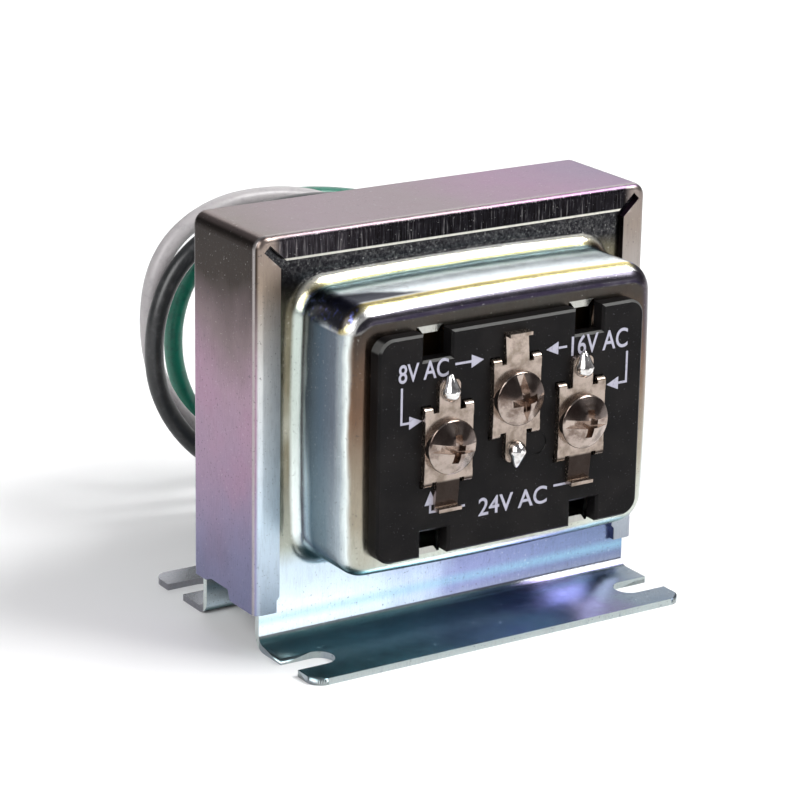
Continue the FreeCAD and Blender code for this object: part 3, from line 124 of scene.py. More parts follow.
def set_stops(ramp, stops):
    while len(ramp.elements) < len(stops):
        ramp.elements.new(1.0)
    for element, (spot, colour) in zip(ramp.elements, stops):
        element.position = spot
        element.color = (*colour, 1.0)


class Wire:
    """A socket of a material, so that sums on sockets are written as sums."""

    def __init__(self, finish, socket):
        self.finish = finish
        self.socket = socket

    def sum(self, operation, first, second=None, clamp=False):
        values = {0: first}
        if second is not None:
            values[1] = second
        settings = {"operation": operation, "use_clamp": clamp}
        return self.finish.node("Math", settings, values)

    def __add__(self, other):
        return self.sum("ADD", self, other)

    def __radd__(self, other):
        return self.sum("ADD", other, self)

    def __sub__(self, other):
        return self.sum("SUBTRACT", self, other)

    def __rsub__(self, other):
        return self.sum("SUBTRACT", other, self)

    def __mul__(self, other):
        return self.sum("MULTIPLY", self, other)

    def __rmul__(self, other):
        return self.sum("MULTIPLY", other, self)

    def __truediv__(self, other):
        return self.sum("DIVIDE", self, other)

    def __rtruediv__(self, other):
        return self.sum("DIVIDE", other, self)

    def __abs__(self):
        return self.sum("ABSOLUTE", self)

    def limited(self):
        """Kept between 0 and 1."""
        return self.sum("ADD", self, 0.0, clamp=True)

    def rises(self, low, high):
        """0 below low, 1 above high, and smooth between them."""
        settings = {"interpolation_type": "SMOOTHSTEP", "clamp": True}
        return self.finish.node("MapRange", settings, {0: self, 1: low, 2: high})

    def falls(self, low, high):
        """1 below low, 0 above high, and smooth between them."""
        return 1.0 - self.rises(low, high)

    def between(self, low, high, soft):
        """1 from low to high, and 0 outside them, with soft edges."""
        return self.rises(low - soft, low + soft) * self.falls(high - soft, high + soft)


class Finish:
    """A material with one surface shader, and the nodes that vary it."""

    def __init__(self, name, colour, roughness, metallic=0.0, **constants):
        self.material = bpy.data.materials.new(name)
        self.material.use_nodes = True
        self.tree = self.material.node_tree
        self.tree.nodes.clear()
        self.surface = add_node(self.tree, "ShaderNodeBsdfPrincipled", values={
            "Base Color": colour, "Roughness": roughness, "Metallic": metallic})
        add_node(self.tree, "ShaderNodeOutputMaterial", values={"Surface": self.surface.outputs[0]})
        for name_of, value in constants.items():
            self.feed(name_of.replace("_", " "), value)

    def feed(self, socket, value):
        feed_socket(self.tree, self.surface.inputs[socket], value)

    def node(self, kind, settings=None, values=None, take=0):
        made = add_node(self.tree, "ShaderNode" + kind, settings, values)
        return Wire(self, made.outputs[take])

    def place(self):
        return self.node("TexCoord", take=3)

    def facing(self):
        return self.node("TexCoord", take=1)

    def parts(self, vector, scale):
        split = self.node("SeparateXYZ", values={0: vector})
        return [Wire(self, part) * scale for part in split.socket.node.outputs]

    def spot(self):
        """Where a point is: across to the right, deep to the back, and high, in millimetres."""
        return self.parts(self.place(), 1.0 / MM)

    def turn(self):
        """How far a face looks to the right, to the back and up, each from -1 to 1."""
        return self.parts(self.facing(), 1.0)

    def noise(self, size, detail=3.0, rough=0.5, shape=(1.0, 1.0, 1.0), shift=0.0):
        """Cloudy marks of about that size in millimetres, longer where shape is larger."""
        values = {0: self.place(), 1: tuple(1.0 / part for part in shape)}
        vector = self.node("VectorMath", {"operation": "MULTIPLY"}, values)
        if shift:
            values = {0: vector, 1: (shift, shift, shift)}
            vector = self.node("VectorMath", {"operation": "ADD"}, values)
        values = {
            "Vector": vector, "Scale": 1.0 / (size * MM), "Detail": detail, "Roughness": rough}
        return self.node("TexNoise", values=values)

    def mix(self, share, first, second, blend="MIX"):
        settings = {"data_type": "RGBA", "blend_type": blend}
        return self.node("Mix", settings, {0: share, 6: first, 7: second}, take=2)

    def ramp(self, share, stops):
        return self.node("ValToRGB", {"stops": stops}, {0: share})

    def bump(self, height, depth, normal=None):
        """Relief from a height of 0 to 1, with depth in millimetres, over a leaning normal."""
        values = {"Height": height, "Distance": depth * MM}
        if normal is not None:
            values["Normal"] = normal
        self.feed("Normal", self.node("Bump", values=values))


# ---------------------------------------------------------------- finishes

def sheet_steel(name, colours, roughness, lean=None):
    """Varnished bright sheet steel: rolled grain, fine specks, and the colours given, which are
    varnish tints together with painted highlights, painted shade and painted reflections.
    """
    steel = Finish(name, (0.5, 0.5, 0.5), roughness, 1.0)
    tint = colours(steel)
    grain = steel.noise(0.15, 3.0, 0.6, (1.0, 1.0, 12.0))
    broad = steel.noise(2.6, 4.0, 0.65)
    specks = steel.noise(0.34, 2.0, 0.6, shift=7.3)
    shade = (0.55 + grain * 0.50 + broad * 0.34).limited()
    grey = steel.ramp(shade, [(0.0, (0, 0, 0)), (1.0, (1, 1, 1))])
    tint = steel.mix(1.0, tint, grey, "MULTIPLY")
    tint = steel.mix(specks.rises(0.64, 0.72) * 0.55, tint, (0.05, 0.05, 0.06))
    tint = steel.mix(specks.falls(0.27, 0.33) * 0.20, tint, (0.9, 0.9, 0.86))
    steel.feed("Base Color", tint)
    steel.feed("Roughness", roughness - 0.08 + broad * 0.12 + grain * 0.08)
    steel.bump(grain * 0.6 + broad * 0.4, 0.012, lean and lean(steel))
    return steel.material


def drawn_walls(steel):
    """The shading normals: the dome's drawn walls lean in a little, and the flange sweeps out into
    the foot.
    """
    to_right, to_back, to_top = steel.turn()
    across, deep, high = steel.spot()
    wall = (1.0 - abs(to_back)).rises(0.1, 0.7) * deep.falls(-11.4, -10.3)
    sweep = high.falls(3.0, 12.5) * to_back.falls(-0.9, -0.7) * deep.between(-11.0, -9.0, 0.3)
    push = steel.node("CombineXYZ", values={0: 0.0, 1: wall * -0.24, 2: sweep * 0.30})
    leant = steel.node("VectorMath", {"operation": "ADD"}, {0: steel.facing(), 1: push})
    return steel.node("VectorMath", {"operation": "NORMALIZE"}, {0: leant})


def band_tints_and_painted_light(steel):
    across, deep, high = steel.spot()
    to_right, to_back, to_top = steel.turn()
    cloud = steel.noise(11.0, 3.0, 0.55, (1.0, 1.0, 1.8))
    patch = steel.noise(7.0, 2.0, 0.5, shift=3.1)
    streak = steel.noise(0.30, 3.0, 0.7, (1.0, 1.0, 16.0), shift=1.7)
    # the side walls: brown at the top, lilac and pink below, blue at the foot
    wall = steel.ramp((high / TINT_TOP + (cloud - 0.5) * 0.30).limited(), [
        (0.00, (0.21, 0.24, 0.40)), (0.20, (0.27, 0.26, 0.42)), (0.40, (0.30, 0.21, 0.31)),
        (0.58, (0.33, 0.22, 0.29)), (0.72, (0.19, 0.14, 0.15)), (0.86, (0.026, 0.016, 0.011)),
        (1.00, (0.014, 0.009, 0.007))])
    pink = patch.rises(0.50, 0.72) * high.falls(36.0, 46.0) * 0.35
    wall = steel.mix(pink, wall, (0.36, 0.20, 0.30))
    # the top: grey and tan on the left, pink and lilac on the right
    roof = steel.ramp(((across + TINT_HALF) / (2 * TINT_HALF) + (cloud - 0.5) * 0.35).limited(), [
        (0.00, (0.18, 0.14, 0.13)), (0.22, (0.23, 0.165, 0.19)), (0.45, (0.225, 0.165, 0.185)),
        (0.75, (0.27, 0.145, 0.24)), (1.00, (0.22, 0.145, 0.24))])
    # the lips over the front, and the one along the top, whose grain is painted near black as a
    # painted dark reflection
    lip = steel.ramp((high / TINT_TOP + (cloud - 0.5) * 0.2).limited(), [
        (0.00, (0.30, 0.35, 0.44)), (0.30, (0.56, 0.68, 0.78)), (0.60, (0.60, 0.62, 0.62)),
        (0.85, (0.30, 0.24, 0.19)), (1.00, (0.22, 0.18, 0.17))])
    lip = steel.mix(across.rises(0.0, 20.0) * 0.5, lip, (0.18, 0.16, 0.155))
    # painted dark reflection on the top lip, streaked with grain, a little paler on the left
    dark = steel.ramp(streak.limited(), [
        (0.40, (0.004, 0.0035, 0.004)), (0.58, (0.014, 0.013, 0.016)), (0.72, (0.15, 0.14, 0.14))])
    pale = steel.ramp(streak.limited(), [
        (0.35, (0.20, 0.17, 0.20)), (0.65, (0.50, 0.44, 0.50))])
    dark = steel.mix(across.falls(-24.0, -8.0) * 0.05, dark, pale)
    # a painted highlight along the top lip's lower edge
    dark = steel.mix(high.falls(LIP_LOW + 0.22, LIP_LOW + 0.34) * 0.9, dark, (0.62, 0.60, 0.54))
    top_lip = high.rises(LIP_LOW - 0.5, LIP_LOW - 0.2) * abs(across).falls(26.0, 27.6)
    lip = steel.mix(top_lip, lip, dark)
    tint = steel.mix(abs(to_right).rises(0.5, 0.8), lip, wall)
    tint = steel.mix(to_top.rises(0.5, 0.8), tint, roof)
    # a painted highlight along the front bends
    bend_highlight = abs(to_back).between(0.15, 0.52, 0.10) * deep.falls(-10.0, -9.0)
    return steel.mix(bend_highlight * 0.8, tint, (0.42, 0.39, 0.38))


def cover_tints_and_painted_light(steel):
    across, deep, high = steel.spot()
    to_right, to_back, to_top = steel.turn()
    cloud = steel.noise(6.0, 3.0, 0.6, (1.0, 1.0, 2.2))
    soft = cloud - 0.5
    # the share of the way from the flange, 0, to the dome's flat, 1
    out = abs(deep + MIDDLE)
    rise = (out - FLANGE_OUT) / DOME_DEEP
    front_dome = deep.falls(-12.0, -11.0)
    # the flange: painted dark above the dome, a painted dark reflection over the grain, khaki
    # beside it, white and lavender below
    khaki = steel.ramp(cloud.limited(), [
        (0.32, (0.10, 0.09, 0.06)), (0.50, (0.18, 0.165, 0.115)), (0.66, (0.32, 0.32, 0.26))])
    khaki = steel.mix(high.falls(9.0, 27.0) * 0.85, khaki, (0.46, 0.50, 0.44))
    low = steel.ramp(((across + TINT_HALF) / (2 * TINT_HALF) + soft * 0.25).limited(), [
        (0.00, (0.66, 0.78, 0.84)), (0.30, (0.52, 0.64, 0.78)), (0.55, (0.21, 0.24, 0.42)),
        (0.80, (0.15, 0.19, 0.33)), (1.00, (0.12, 0.16, 0.26))])
    # a painted highlight, cyan, along the flange just above the foot's bend
    low = steel.mix(high.between(3.4, 4.6, 0.6) * 0.5, low, (0.22, 0.42, 0.54))
    # the flange above the dome: grain under a painted dark reflection
    grained_dark_reflection = steel.ramp(steel.noise(0.4, 3.0, 0.7).limited(), [
        (0.40, (0.012, 0.012, 0.014)), (0.60, (0.05, 0.05, 0.052)), (0.75, (0.16, 0.16, 0.15))])
    flange = steel.mix(high.falls(10.0, 14.0), khaki, low)
    flange = steel.mix(high.rises(45.5, 48.5), flange, grained_dark_reflection)
    # the dome's flat: gold and tan beside the board, olive above it, pale below
    flat = steel.ramp((high / TINT_TOP + soft * 0.25).limited(), [
        (0.20, (0.60, 0.66, 0.60)), (0.35, (0.32, 0.29, 0.225)), (0.62, (0.145, 0.09, 0.06)),
        (0.78, (0.05, 0.042, 0.036)), (0.88, (0.05, 0.05, 0.045))])
    # the slots' tongues are painted bright, a painted highlight
    from_middle = abs(high - BOARD_HIGH)
    tongue = from_middle.rises(13.9, 14.0) * from_middle.falls(14.95, 15.05)
    tongue = tongue * abs(abs(across) - SLOT_MIDDLE).falls(1.8, 1.9) * front_dome
    flat = steel.mix(tongue, flat, (0.40, 0.40, 0.37))
    flat = steel.mix(rise.rises(0.6, 0.9), flange, flat)
    # walls of the dome, from root to rim: painted reflections, with a painted highlight at the
    # root, dark painted reflection on the walls, a painted highlight band near the rim, and paler
    # painted reflection on the lower walls
    side = steel.ramp((rise + soft * 0.14).limited(), [
        (0.00, (0.47, 0.53, 0.48)), (0.17, (0.54, 0.61, 0.58)), (0.26, (0.06, 0.075, 0.085)),
        (0.50, (0.07, 0.10, 0.13)), (0.78, (0.12, 0.14, 0.17)), (0.88, (0.30, 0.34, 0.36)),
        (0.93, (0.72, 0.78, 0.76)), (0.96, (0.24, 0.16, 0.11)), (1.00, (0.30, 0.20, 0.13))])
    pale = steel.ramp((rise + soft * 0.14).limited(), [
        (0.00, (0.90, 0.98, 0.96)), (0.22, (0.80, 0.90, 0.92)), (0.34, (0.14, 0.20, 0.23)),
        (0.62, (0.18, 0.25, 0.29)), (0.86, (0.34, 0.40, 0.44)), (0.93, (0.72, 0.80, 0.80)),
        (1.00, (0.44, 0.42, 0.34))])
    side = steel.mix(high.falls(16.0, 34.0) * 0.8, side, pale)
    # the top wall: white painted highlights at the root and across the middle, thin gold and teal
    # tint lines, and a dark painted line at the rim
    over = steel.ramp((rise + soft * 0.05).limited(), [
        (0.00, (0.95, 0.95, 0.92)), (0.085, (0.95, 0.85, 0.42)), (0.12, (0.64, 0.92, 0.94)),
        (0.24, (0.66, 0.94, 0.99)), (0.40, (0.85, 0.96, 1.00)), (0.68, (0.92, 0.98, 1.00)),
        (0.79, (0.95, 0.95, 0.92)), (0.83, (0.80, 0.66, 0.26)), (0.89, (0.92, 0.84, 0.50)),
        (0.92, (0.95, 0.95, 0.92)), (0.985, (0.92, 0.92, 0.90)), (0.994, (0.05, 0.05, 0.05))])
    tint = steel.mix(abs(to_right).rises(0.48, 0.76), flat, side)
    # the dome's underside is painted dark teal, a painted shade
    tint = steel.mix(to_top.falls(-0.70, -0.35), tint, (0.10, 0.20, 0.22))
    tint = steel.mix(to_top.rises(0.20, 0.45), tint, over)
    tint = steel.mix(to_top.rises(0.09, 0.24) * rise.rises(0.4, 0.6), tint, over)
    # a painted dark reflection with blue flecks at the dome's upper corners, running out along the
    # foot of the top wall
    fleck = steel.noise(0.7, 3.0, 0.6)
    corner = (abs(to_right) * to_top + soft * 0.40 + (fleck - 0.5) * 0.20).rises(0.10, 0.38)
    corner = corner * (rise + soft * 0.20).between(0.06, 0.97, 0.06)
    flecked_dark_reflection = steel.mix(fleck.rises(0.56, 0.70), (0.012, 0.012, 0.026), (0.10, 0.12, 0.38))
    tint = steel.mix(corner * 0.95, tint, flecked_dark_reflection)
    tail_dark_reflection = (rise + soft * 0.25 - (across + 20.0) * 0.036).rises(0.36, 0.50) * rise.falls(0.75, 0.84)
    tint = steel.mix(tail_dark_reflection * to_top.rises(0.6, 0.9) * front_dome * 0.96, tint, (0.012, 0.013, 0.028))
    # the last of the upper rim is painted dark, a painted dark reflection wider towards the right,
    # and the rim's right side is painted dark as painted shade
    rim_dark_reflection = (rise + across * 0.0006 + soft * 0.02).rises(0.944, 0.956) * to_top.rises(0.10, 0.22)
    tint = steel.mix(rim_dark_reflection * front_dome * 0.95, tint, (0.024, 0.019, 0.036))
    # the rim's right side, painted dark as painted shade
    right_rim_shade = rise.rises(0.86, 0.92) * to_right.rises(0.15, 0.40) * high.rises(30.0, 42.0)
    tint = steel.mix(right_rim_shade * front_dome * 0.9, tint, (0.045, 0.032, 0.045))
    # the foot: slate on the left, lilac towards the right, and plain grey on the rear cover
    foot = steel.ramp(((across + TINT_HALF) / (2 * TINT_HALF) + soft * 0.25).limited(), [
        (0.00, (0.22, 0.30, 0.32)), (0.30, (0.34, 0.44, 0.48)), (0.50, (0.50, 0.54, 0.62)),
        (0.66, (0.34, 0.30, 0.50)), (0.78, (0.15, 0.14, 0.24)), (0.90, (0.16, 0.20, 0.25)),
        (1.00, (0.22, 0.25, 0.28))])
    edge = steel.mix(abs(to_right).rises(0.5, 0.8), (0.40, 0.45, 0.45), (0.34, 0.38, 0.41))
    foot = steel.mix(to_top.rises(0.3, 0.7), edge, foot)
    foot = steel.mix(deep.rises(-2.0, 2.0) * 0.8, foot, (0.24, 0.23, 0.26))
    tint = steel.mix(high.falls(1.2, 3.2) * out.rises(7.1, 7.5), tint, foot)
    # painted shade, dark lilac, inside the front foot's bend on the right
    foot_bend_shade = high.rises(0.98, 1.12) * high.falls(2.4, 3.6) * across.rises(-4.0, 8.0)
    return steel.mix(foot_bend_shade * deep.falls(-10.4, -10.0) * 0.8, tint, (0.12, 0.11, 0.20))


def moulded(name, colour, lighter, roughness):
    """Moulded plastic or rubber: a faint cloud in its colour, and a fine orange-peel face."""
    made = Finish(name, colour, roughness)
    cloud = made.noise(4.0, 3.0)
    peel = made.noise(0.5, 2.0)
    made.feed("Base Color", made.mix(cloud.rises(0.35, 0.70), colour, lighter))
    made.feed("Roughness", roughness - 0.05 + peel * 0.10)
    made.bump(peel, 0.004)
    return made.material


def nickel(name, light, dark, roughness, brushed=(1.0, 1.0, 8.0), shaded=None):
    """Bright plate: brushed, with a warm dull film in places."""
    made = Finish(name, light, roughness, 1.0)
    lines = made.noise(0.10, 2.0, 0.6, brushed)
    film = made.noise(1.6, 4.0, 0.6)
    tint = made.mix(film.rises(0.40, 0.68), light, dark)
    tint = made.mix(lines.rises(0.45, 0.75) * 0.25, tint, dark)
    if shaded is not None:
        tint = shaded(made, tint)
    made.feed("Base Color", tint)
    made.feed("Roughness", roughness - 0.05 + lines * 0.10)
    made.bump(lines, 0.003)
    return made.material


def wire_stops(made, tint):
    """The stamped plates: the lower wire stops are painted near black, a painted dark reflection,
    and every edge has a painted highlight.
    """
    high = made.spot()[2]
    to_back = made.turn()[1]
    stop_dark_reflection = high.falls(24.2, 24.6) * to_back.falls(-0.95, -0.8) * high.rises(20.9, 21.1)
    tint = made.mix(stop_dark_reflection * 0.96, tint, (0.020, 0.014, 0.012))
    # painted highlight on every edge
    edge = (1.0 - abs(to_back)).rises(0.4, 0.8)
    return made.mix(edge * 0.7, tint, (0.62, 0.52, 0.44))


def screw_domes(made, tint):
    """The screws' heads: a painted dark reflection, brown, over the top half, and a painted
    highlight round the rim.
    """
    to_back, to_top = made.turn()[1:]
    upper = to_top.between(0.07, 0.46, 0.05) * to_back.falls(-0.6, -0.4)
    rim = (1.0 - abs(to_back)).rises(0.75, 0.95)
    # painted dark reflection on the top half of each head
    tint = made.mix(upper * 0.85, tint, (0.045, 0.030, 0.026))
    # painted highlight round each head's rim
    return made.mix(rim * 0.6, tint, (0.60, 0.50, 0.44))


def cast_zinc():
    """Die-cast zinc: cloudy grey, with fine pits."""
    made = Finish("cast_zinc", (0.42, 0.43, 0.44), 0.48, 1.0)
    cloud = made.noise(2.4, 4.0, 0.6)
    pits = made.noise(0.35, 2.0)
    made.feed("Base Color", made.ramp(cloud, [
        (0.3, (0.30, 0.31, 0.32)), (0.7, (0.52, 0.53, 0.54))]))
    made.feed("Roughness", 0.40 + pits * 0.18)
    made.bump(pits, 0.012)
    return made.material


def core_steel():
    """Edges of the laminations under brown varnish."""
    made = Finish("core_sheets", (0.09, 0.07, 0.06), 0.40, 0.55)
    cloud = made.noise(3.0, 4.0, 0.6)
    made.feed("Base Color", made.ramp(cloud, [
        (0.3, (0.05, 0.04, 0.035)), (0.6, (0.12, 0.09, 0.07)), (0.8, (0.19, 0.15, 0.12))]))
    made.feed("Roughness", 0.32 + cloud * 0.2)
    made.bump(cloud, 0.02)
    return made.material


def copper_wire(name, colour, dark, pitch):
    """Wire laid turn beside turn: fine rings round the axis."""
    made = Finish(name, colour, 0.32, 1.0)
    high = made.spot()[2]
    rings = made.node("Math", {"operation": "PINGPONG"}, {0: high, 1: pitch / 2}) / (pitch / 2)
    cloud = made.noise(2.0, 3.0)
    tint = made.mix(rings.falls(0.0, 0.5) * 0.7, colour, dark)
    made.feed("Base Color", made.mix(cloud.rises(0.45, 0.75) * 0.3, tint, dark))
    made.bump(rings, 0.05)
    return made.material


def tape():
    """Dark varnished tape with the edges of its laps."""
    made = Finish("winding_tape", (0.10, 0.06, 0.02), 0.30)
    high = made.spot()[2]
    laps = made.node("Math", {"operation": "PINGPONG"}, {0: high, 1: 3.0}) / 3.0
    cloud = made.noise(3.0, 3.0)
    tint = made.mix(laps.falls(0.0, 0.10) * 0.5, (0.11, 0.065, 0.022), (0.05, 0.03, 0.01))
    made.feed("Base Color", made.mix(cloud.rises(0.4, 0.7) * 0.4, tint, (0.08, 0.045, 0.015)))
    made.bump(laps.rises(0.0, 0.1), 0.03)
    return made.material


def sheath(name, colour, shade, roughness):
    """Smooth vinyl insulation, a little scuffed."""
    made = Finish(name, colour, roughness, Coat_Weight=0.15, Coat_Roughness=0.2)
    scuff = made.noise(1.2, 4.0, 0.65)
    made.feed("Base Color", made.mix(scuff.rises(0.46, 0.72), colour, shade))
    made.feed("Roughness", roughness + (scuff - 0.5) * 0.15)
    made.bump(scuff, 0.01)
    return made.material


def terminal_board():
    """Black moulded board: near black, a little warm, dusty and lightly scratched, with a painted
    highlight on the bevels that face up.
    """
    made = Finish("board_plastic", (0.012, 0.011, 0.011), 0.42, Specular_IOR_Level=0.08)
    dust = made.noise(0.22, 2.0, 0.5)
    cloud = made.noise(5.0, 3.0)
    tint = made.mix(cloud.rises(0.35, 0.7), (0.004, 0.0037, 0.004), (0.008, 0.0072, 0.0072))
    # a painted highlight on the bevels that face up
    bevel_highlight = made.turn()[2].between(0.25, 0.80, 0.08)
    tint = made.mix(bevel_highlight * 0.9, tint, (0.075, 0.075, 0.072))
    made.feed("Base Color", made.mix(dust.rises(0.70, 0.76) * 0.35, tint, (0.16, 0.16, 0.17)))
    made.feed("Roughness", 0.36 + cloud * 0.14)
    made.bump(made.noise(0.18, 2.0), 0.004)
    return made.material


def ink():
    """Pale ink, a little worn."""
    made = Finish("board_ink", (0.40, 0.39, 0.50), 0.55)
    wear = made.noise(0.35, 3.0)
    worn = wear.rises(0.55, 0.75)
    made.feed("Base Color", made.mix(worn, (0.36, 0.355, 0.43), (0.24, 0.24, 0.29)))
    made.feed("Roughness", 0.5 + wear * 0.1)
    return made.material


def solder():
    """Bright solder with a dull skin in places."""
    made = Finish("solder", (0.62, 0.61, 0.60), 0.12, 1.0)
    cloud = made.noise(1.0, 3.0)
    dull = cloud.rises(0.45, 0.7)
    made.feed("Base Color", made.mix(dull, (0.72, 0.71, 0.70), (0.42, 0.40, 0.39)))
    made.feed("Roughness", 0.07 + cloud * 0.12)
    made.bump(made.noise(0.8, 2.0), 0.03)
    return made.material


def dress(finish, *nodes):
    """Gives these nodes of the frame that finish."""
    for node in nodes:
        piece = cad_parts[node]
        if not piece.material_slots:
            piece.data.materials.append(None)
        for slot in piece.material_slots:
            slot.material = finish


# ---------------------------------------------------------------- meshes

def piece_from(name, corners, faces, finish, smooth=False):
    """A mesh object from corners in millimetres."""
    mesh = bpy.data.meshes.new(name)
    mesh.from_pydata([tuple(part * MM for part in corner) for corner in corners], [], faces)
    mesh.materials.append(finish)
    mesh.validate()
    for face in mesh.polygons:
        face.use_smooth = smooth
    return link(name, mesh)


def link(name, data):
    made = bpy.data.objects.new(name, data)
    bpy.context.scene.collection.objects.link(made)
    return made


def reworked(mesh, change):
    """Lets change work on the mesh's faces and corners."""
    work = bmesh.new()
    work.from_mesh(mesh)
    change(work)
    work.to_mesh(mesh)
    work.free()


def plain_mesh(piece, name, place=None):
    """The evaluated mesh of an object, as an object of its own, in its place."""
    bpy.context.view_layer.update()
    graph = bpy.context.evaluated_depsgraph_get()
    mesh = bpy.data.meshes.new_from_object(piece.evaluated_get(graph))
    if place is not None:
        mesh.transform(place)
    bpy.data.objects.remove(piece)
    return link(name, mesh)


def prism(outline, front, back):
    """Corners and faces of a flat shape, from its outline in x and z and its two depths.
    The outline runs anticlockwise as seen from the front."""
    count = len(outline)
    corners = [(x, front, z) for x, z in outline] + [(x, back, z) for x, z in outline]
    faces = [tuple(range(count)), tuple(range(2 * count - 1, count - 1, -1))]
    for i in range(count):
        j = (i + 1) % count
        faces.append((i, i + count, j + count, j))
    return corners, faces


def turned(name, profile, finish):
    """A body turned round the hub's axis, from a closed profile of radius and depth."""
    segments = 96
    count = len(profile)
    corners = []
    faces = []
    for i in range(segments):
        angle = 2 * math.pi * i / segments
        for radius, deep in profile:
            corners.append((radius * math.cos(angle), deep, HUB_HIGH + radius * math.sin(angle)))
    for i in range(segments):
        k = (i + 1) % segments
        for j in range(count):
            m = (j + 1) % count
            faces.append((i * count + j, i * count + m, k * count + m, k * count + j))
    return piece_from(name, corners, faces, finish)


# ---------------------------------------------------------------- repeated shapes

def new_tree(name, inputs):
    tree = bpy.data.node_groups.new(name, "GeometryNodeTree")
    for label, kind, value in inputs:
        socket = tree.interface.new_socket(label, in_out="INPUT", socket_type="NodeSocket" + kind)
        if value is not None:
            socket.default_value = value
    tree.interface.new_socket("Geometry", in_out="OUTPUT", socket_type="NodeSocketGeometry")
    return tree


def outputs_of(tree, kind, settings=None, values=None):
    return add_node(tree, kind, settings, values).outputs


def end_tree(tree, shape, finish):
    """Realized and given its finish."""
    real = outputs_of(tree, "GeometryNodeRealizeInstances", values={"Geometry": shape})
    done = outputs_of(tree, "GeometryNodeSetMaterial", values={
        "Geometry": real[0], "Material": finish})
    add_node(tree, "NodeGroupOutput", values={0: done[0]})


def grown(name, tree, values, start=None, place=None):
    """What a tree makes with these inputs, as a plain mesh."""
    holder = link(name + "_start", start or bpy.data.meshes.new(name + "_start"))
    maker = holder.modifiers.new("maker", "NODES")
    maker.node_group = tree
    for item in tree.interface.items_tree:
        if item.item_type == "SOCKET" and item.in_out == "INPUT" and item.name in values:
            maker[item.identifier] = values[item.name]
    return plain_mesh(holder, name, place)


def stack_tree():
    """One sheet, repeated along the depth."""
    tree = new_tree("stack_of_sheets", [
        ("Geometry", "Geometry", None), ("Sheets", "Int", SHEETS),
        ("Pitch", "Float", STACK / SHEETS * MM),
        ("Finish", "Material", None)])
    given = outputs_of(tree, "NodeGroupInput")
    step = outputs_of(tree, "ShaderNodeCombineXYZ", values={"Y": given["Pitch"]})
    line = outputs_of(tree, "GeometryNodeMeshLine", {"mode": "OFFSET"}, {
        "Count": given["Sheets"], "Offset": step[0]})
    many = outputs_of(tree, "GeometryNodeInstanceOnPoints", values={
        "Points": line[0], "Instance": given["Geometry"]})
    end_tree(tree, many[0], given["Finish"])
    return tree


def thread_tree():
    """A rounded ridge that climbs round the upright axis."""
    tree = new_tree("thread_ridge", [
        ("Turns", "Float", THREAD_TURNS), ("Radius", "Float", (THREAD_OUT - THREAD_RIDGE) * MM),
        ("Long", "Float", THREAD_LONG * MM), ("Ridge", "Float", THREAD_RIDGE * MM),
        ("Finish", "Material", None)])
    given = outputs_of(tree, "NodeGroupInput")
    spiral = outputs_of(tree, "GeometryNodeCurveSpiral", values={
        "Resolution": 64, "Rotations": given["Turns"], "Start Radius": given["Radius"],
        "End Radius": given["Radius"], "Height": given["Long"]})
    ring = outputs_of(tree, "GeometryNodeCurvePrimitiveCircle", {"mode": "RADIUS"}, {
        "Resolution": 6, "Radius": given["Ridge"]})
    swept = outputs_of(tree, "GeometryNodeCurveToMesh", values={
        "Curve": spiral[0], "Profile Curve": ring[0], "Fill Caps": True})
    end_tree(tree, swept[0], given["Finish"])
    return tree


def strand_tree():
    """Bared wire: one straight strand with others laid round it."""
    tree = new_tree("twisted_strands", [
        ("Strands", "Int", STRANDS), ("Wire", "Float", STRAND * MM), ("Long", "Float", STRIP * MM),
        ("Turns", "Float", LAY), ("Finish", "Material", None)])
    given = outputs_of(tree, "NodeGroupInput")
    lay = outputs_of(tree, "ShaderNodeMath", {"operation": "MULTIPLY"}, {0: given["Wire"], 1: 2.0})
    spiral = outputs_of(tree, "GeometryNodeCurveSpiral", values={
        "Resolution": 32, "Rotations": given["Turns"], "Start Radius": lay[0],
        "End Radius": lay[0], "Height": given["Long"]})
    ring = outputs_of(tree, "GeometryNodeCurvePrimitiveCircle", {"mode": "RADIUS"}, {
        "Resolution": 10, "Radius": given["Wire"]})
    outer = outputs_of(tree, "GeometryNodeCurveToMesh", values={
        "Curve": spiral[0], "Profile Curve": ring[0], "Fill Caps": True})
    points = outputs_of(tree, "GeometryNodeMeshLine", {"mode": "OFFSET"}, {
        "Count": given["Strands"], "Offset": (0.0, 0.0, 0.0)})
    order = outputs_of(tree, "GeometryNodeInputIndex")
    turn = outputs_of(tree, "ShaderNodeMath", {"operation": "DIVIDE"}, {
        0: 2 * math.pi, 1: given["Strands"]})
    turned_by = outputs_of(tree, "ShaderNodeMath", {"operation": "MULTIPLY"}, {
        0: order[0], 1: turn[0]})
    about = outputs_of(tree, "ShaderNodeCombineXYZ", values={"Z": turned_by[0]})
    many = outputs_of(tree, "GeometryNodeInstanceOnPoints", values={
        "Points": points[0], "Instance": outer[0], "Rotation": about[0]})
    tip = outputs_of(tree, "ShaderNodeCombineXYZ", values={"Z": given["Long"]})
    core = outputs_of(tree, "GeometryNodeCurvePrimitiveLine", values={"End": tip[0]})
    inner = outputs_of(tree, "GeometryNodeCurveToMesh", values={
        "Curve": core[0], "Profile Curve": ring[0], "Fill Caps": True})
    both = tree.nodes.new("GeometryNodeJoinGeometry")
    tree.links.new(many[0], both.inputs[0])
    tree.links.new(inner[0], both.inputs[0])
    end_tree(tree, both.outputs[0], given["Finish"])
    return tree


# ---------------------------------------------------------------- core

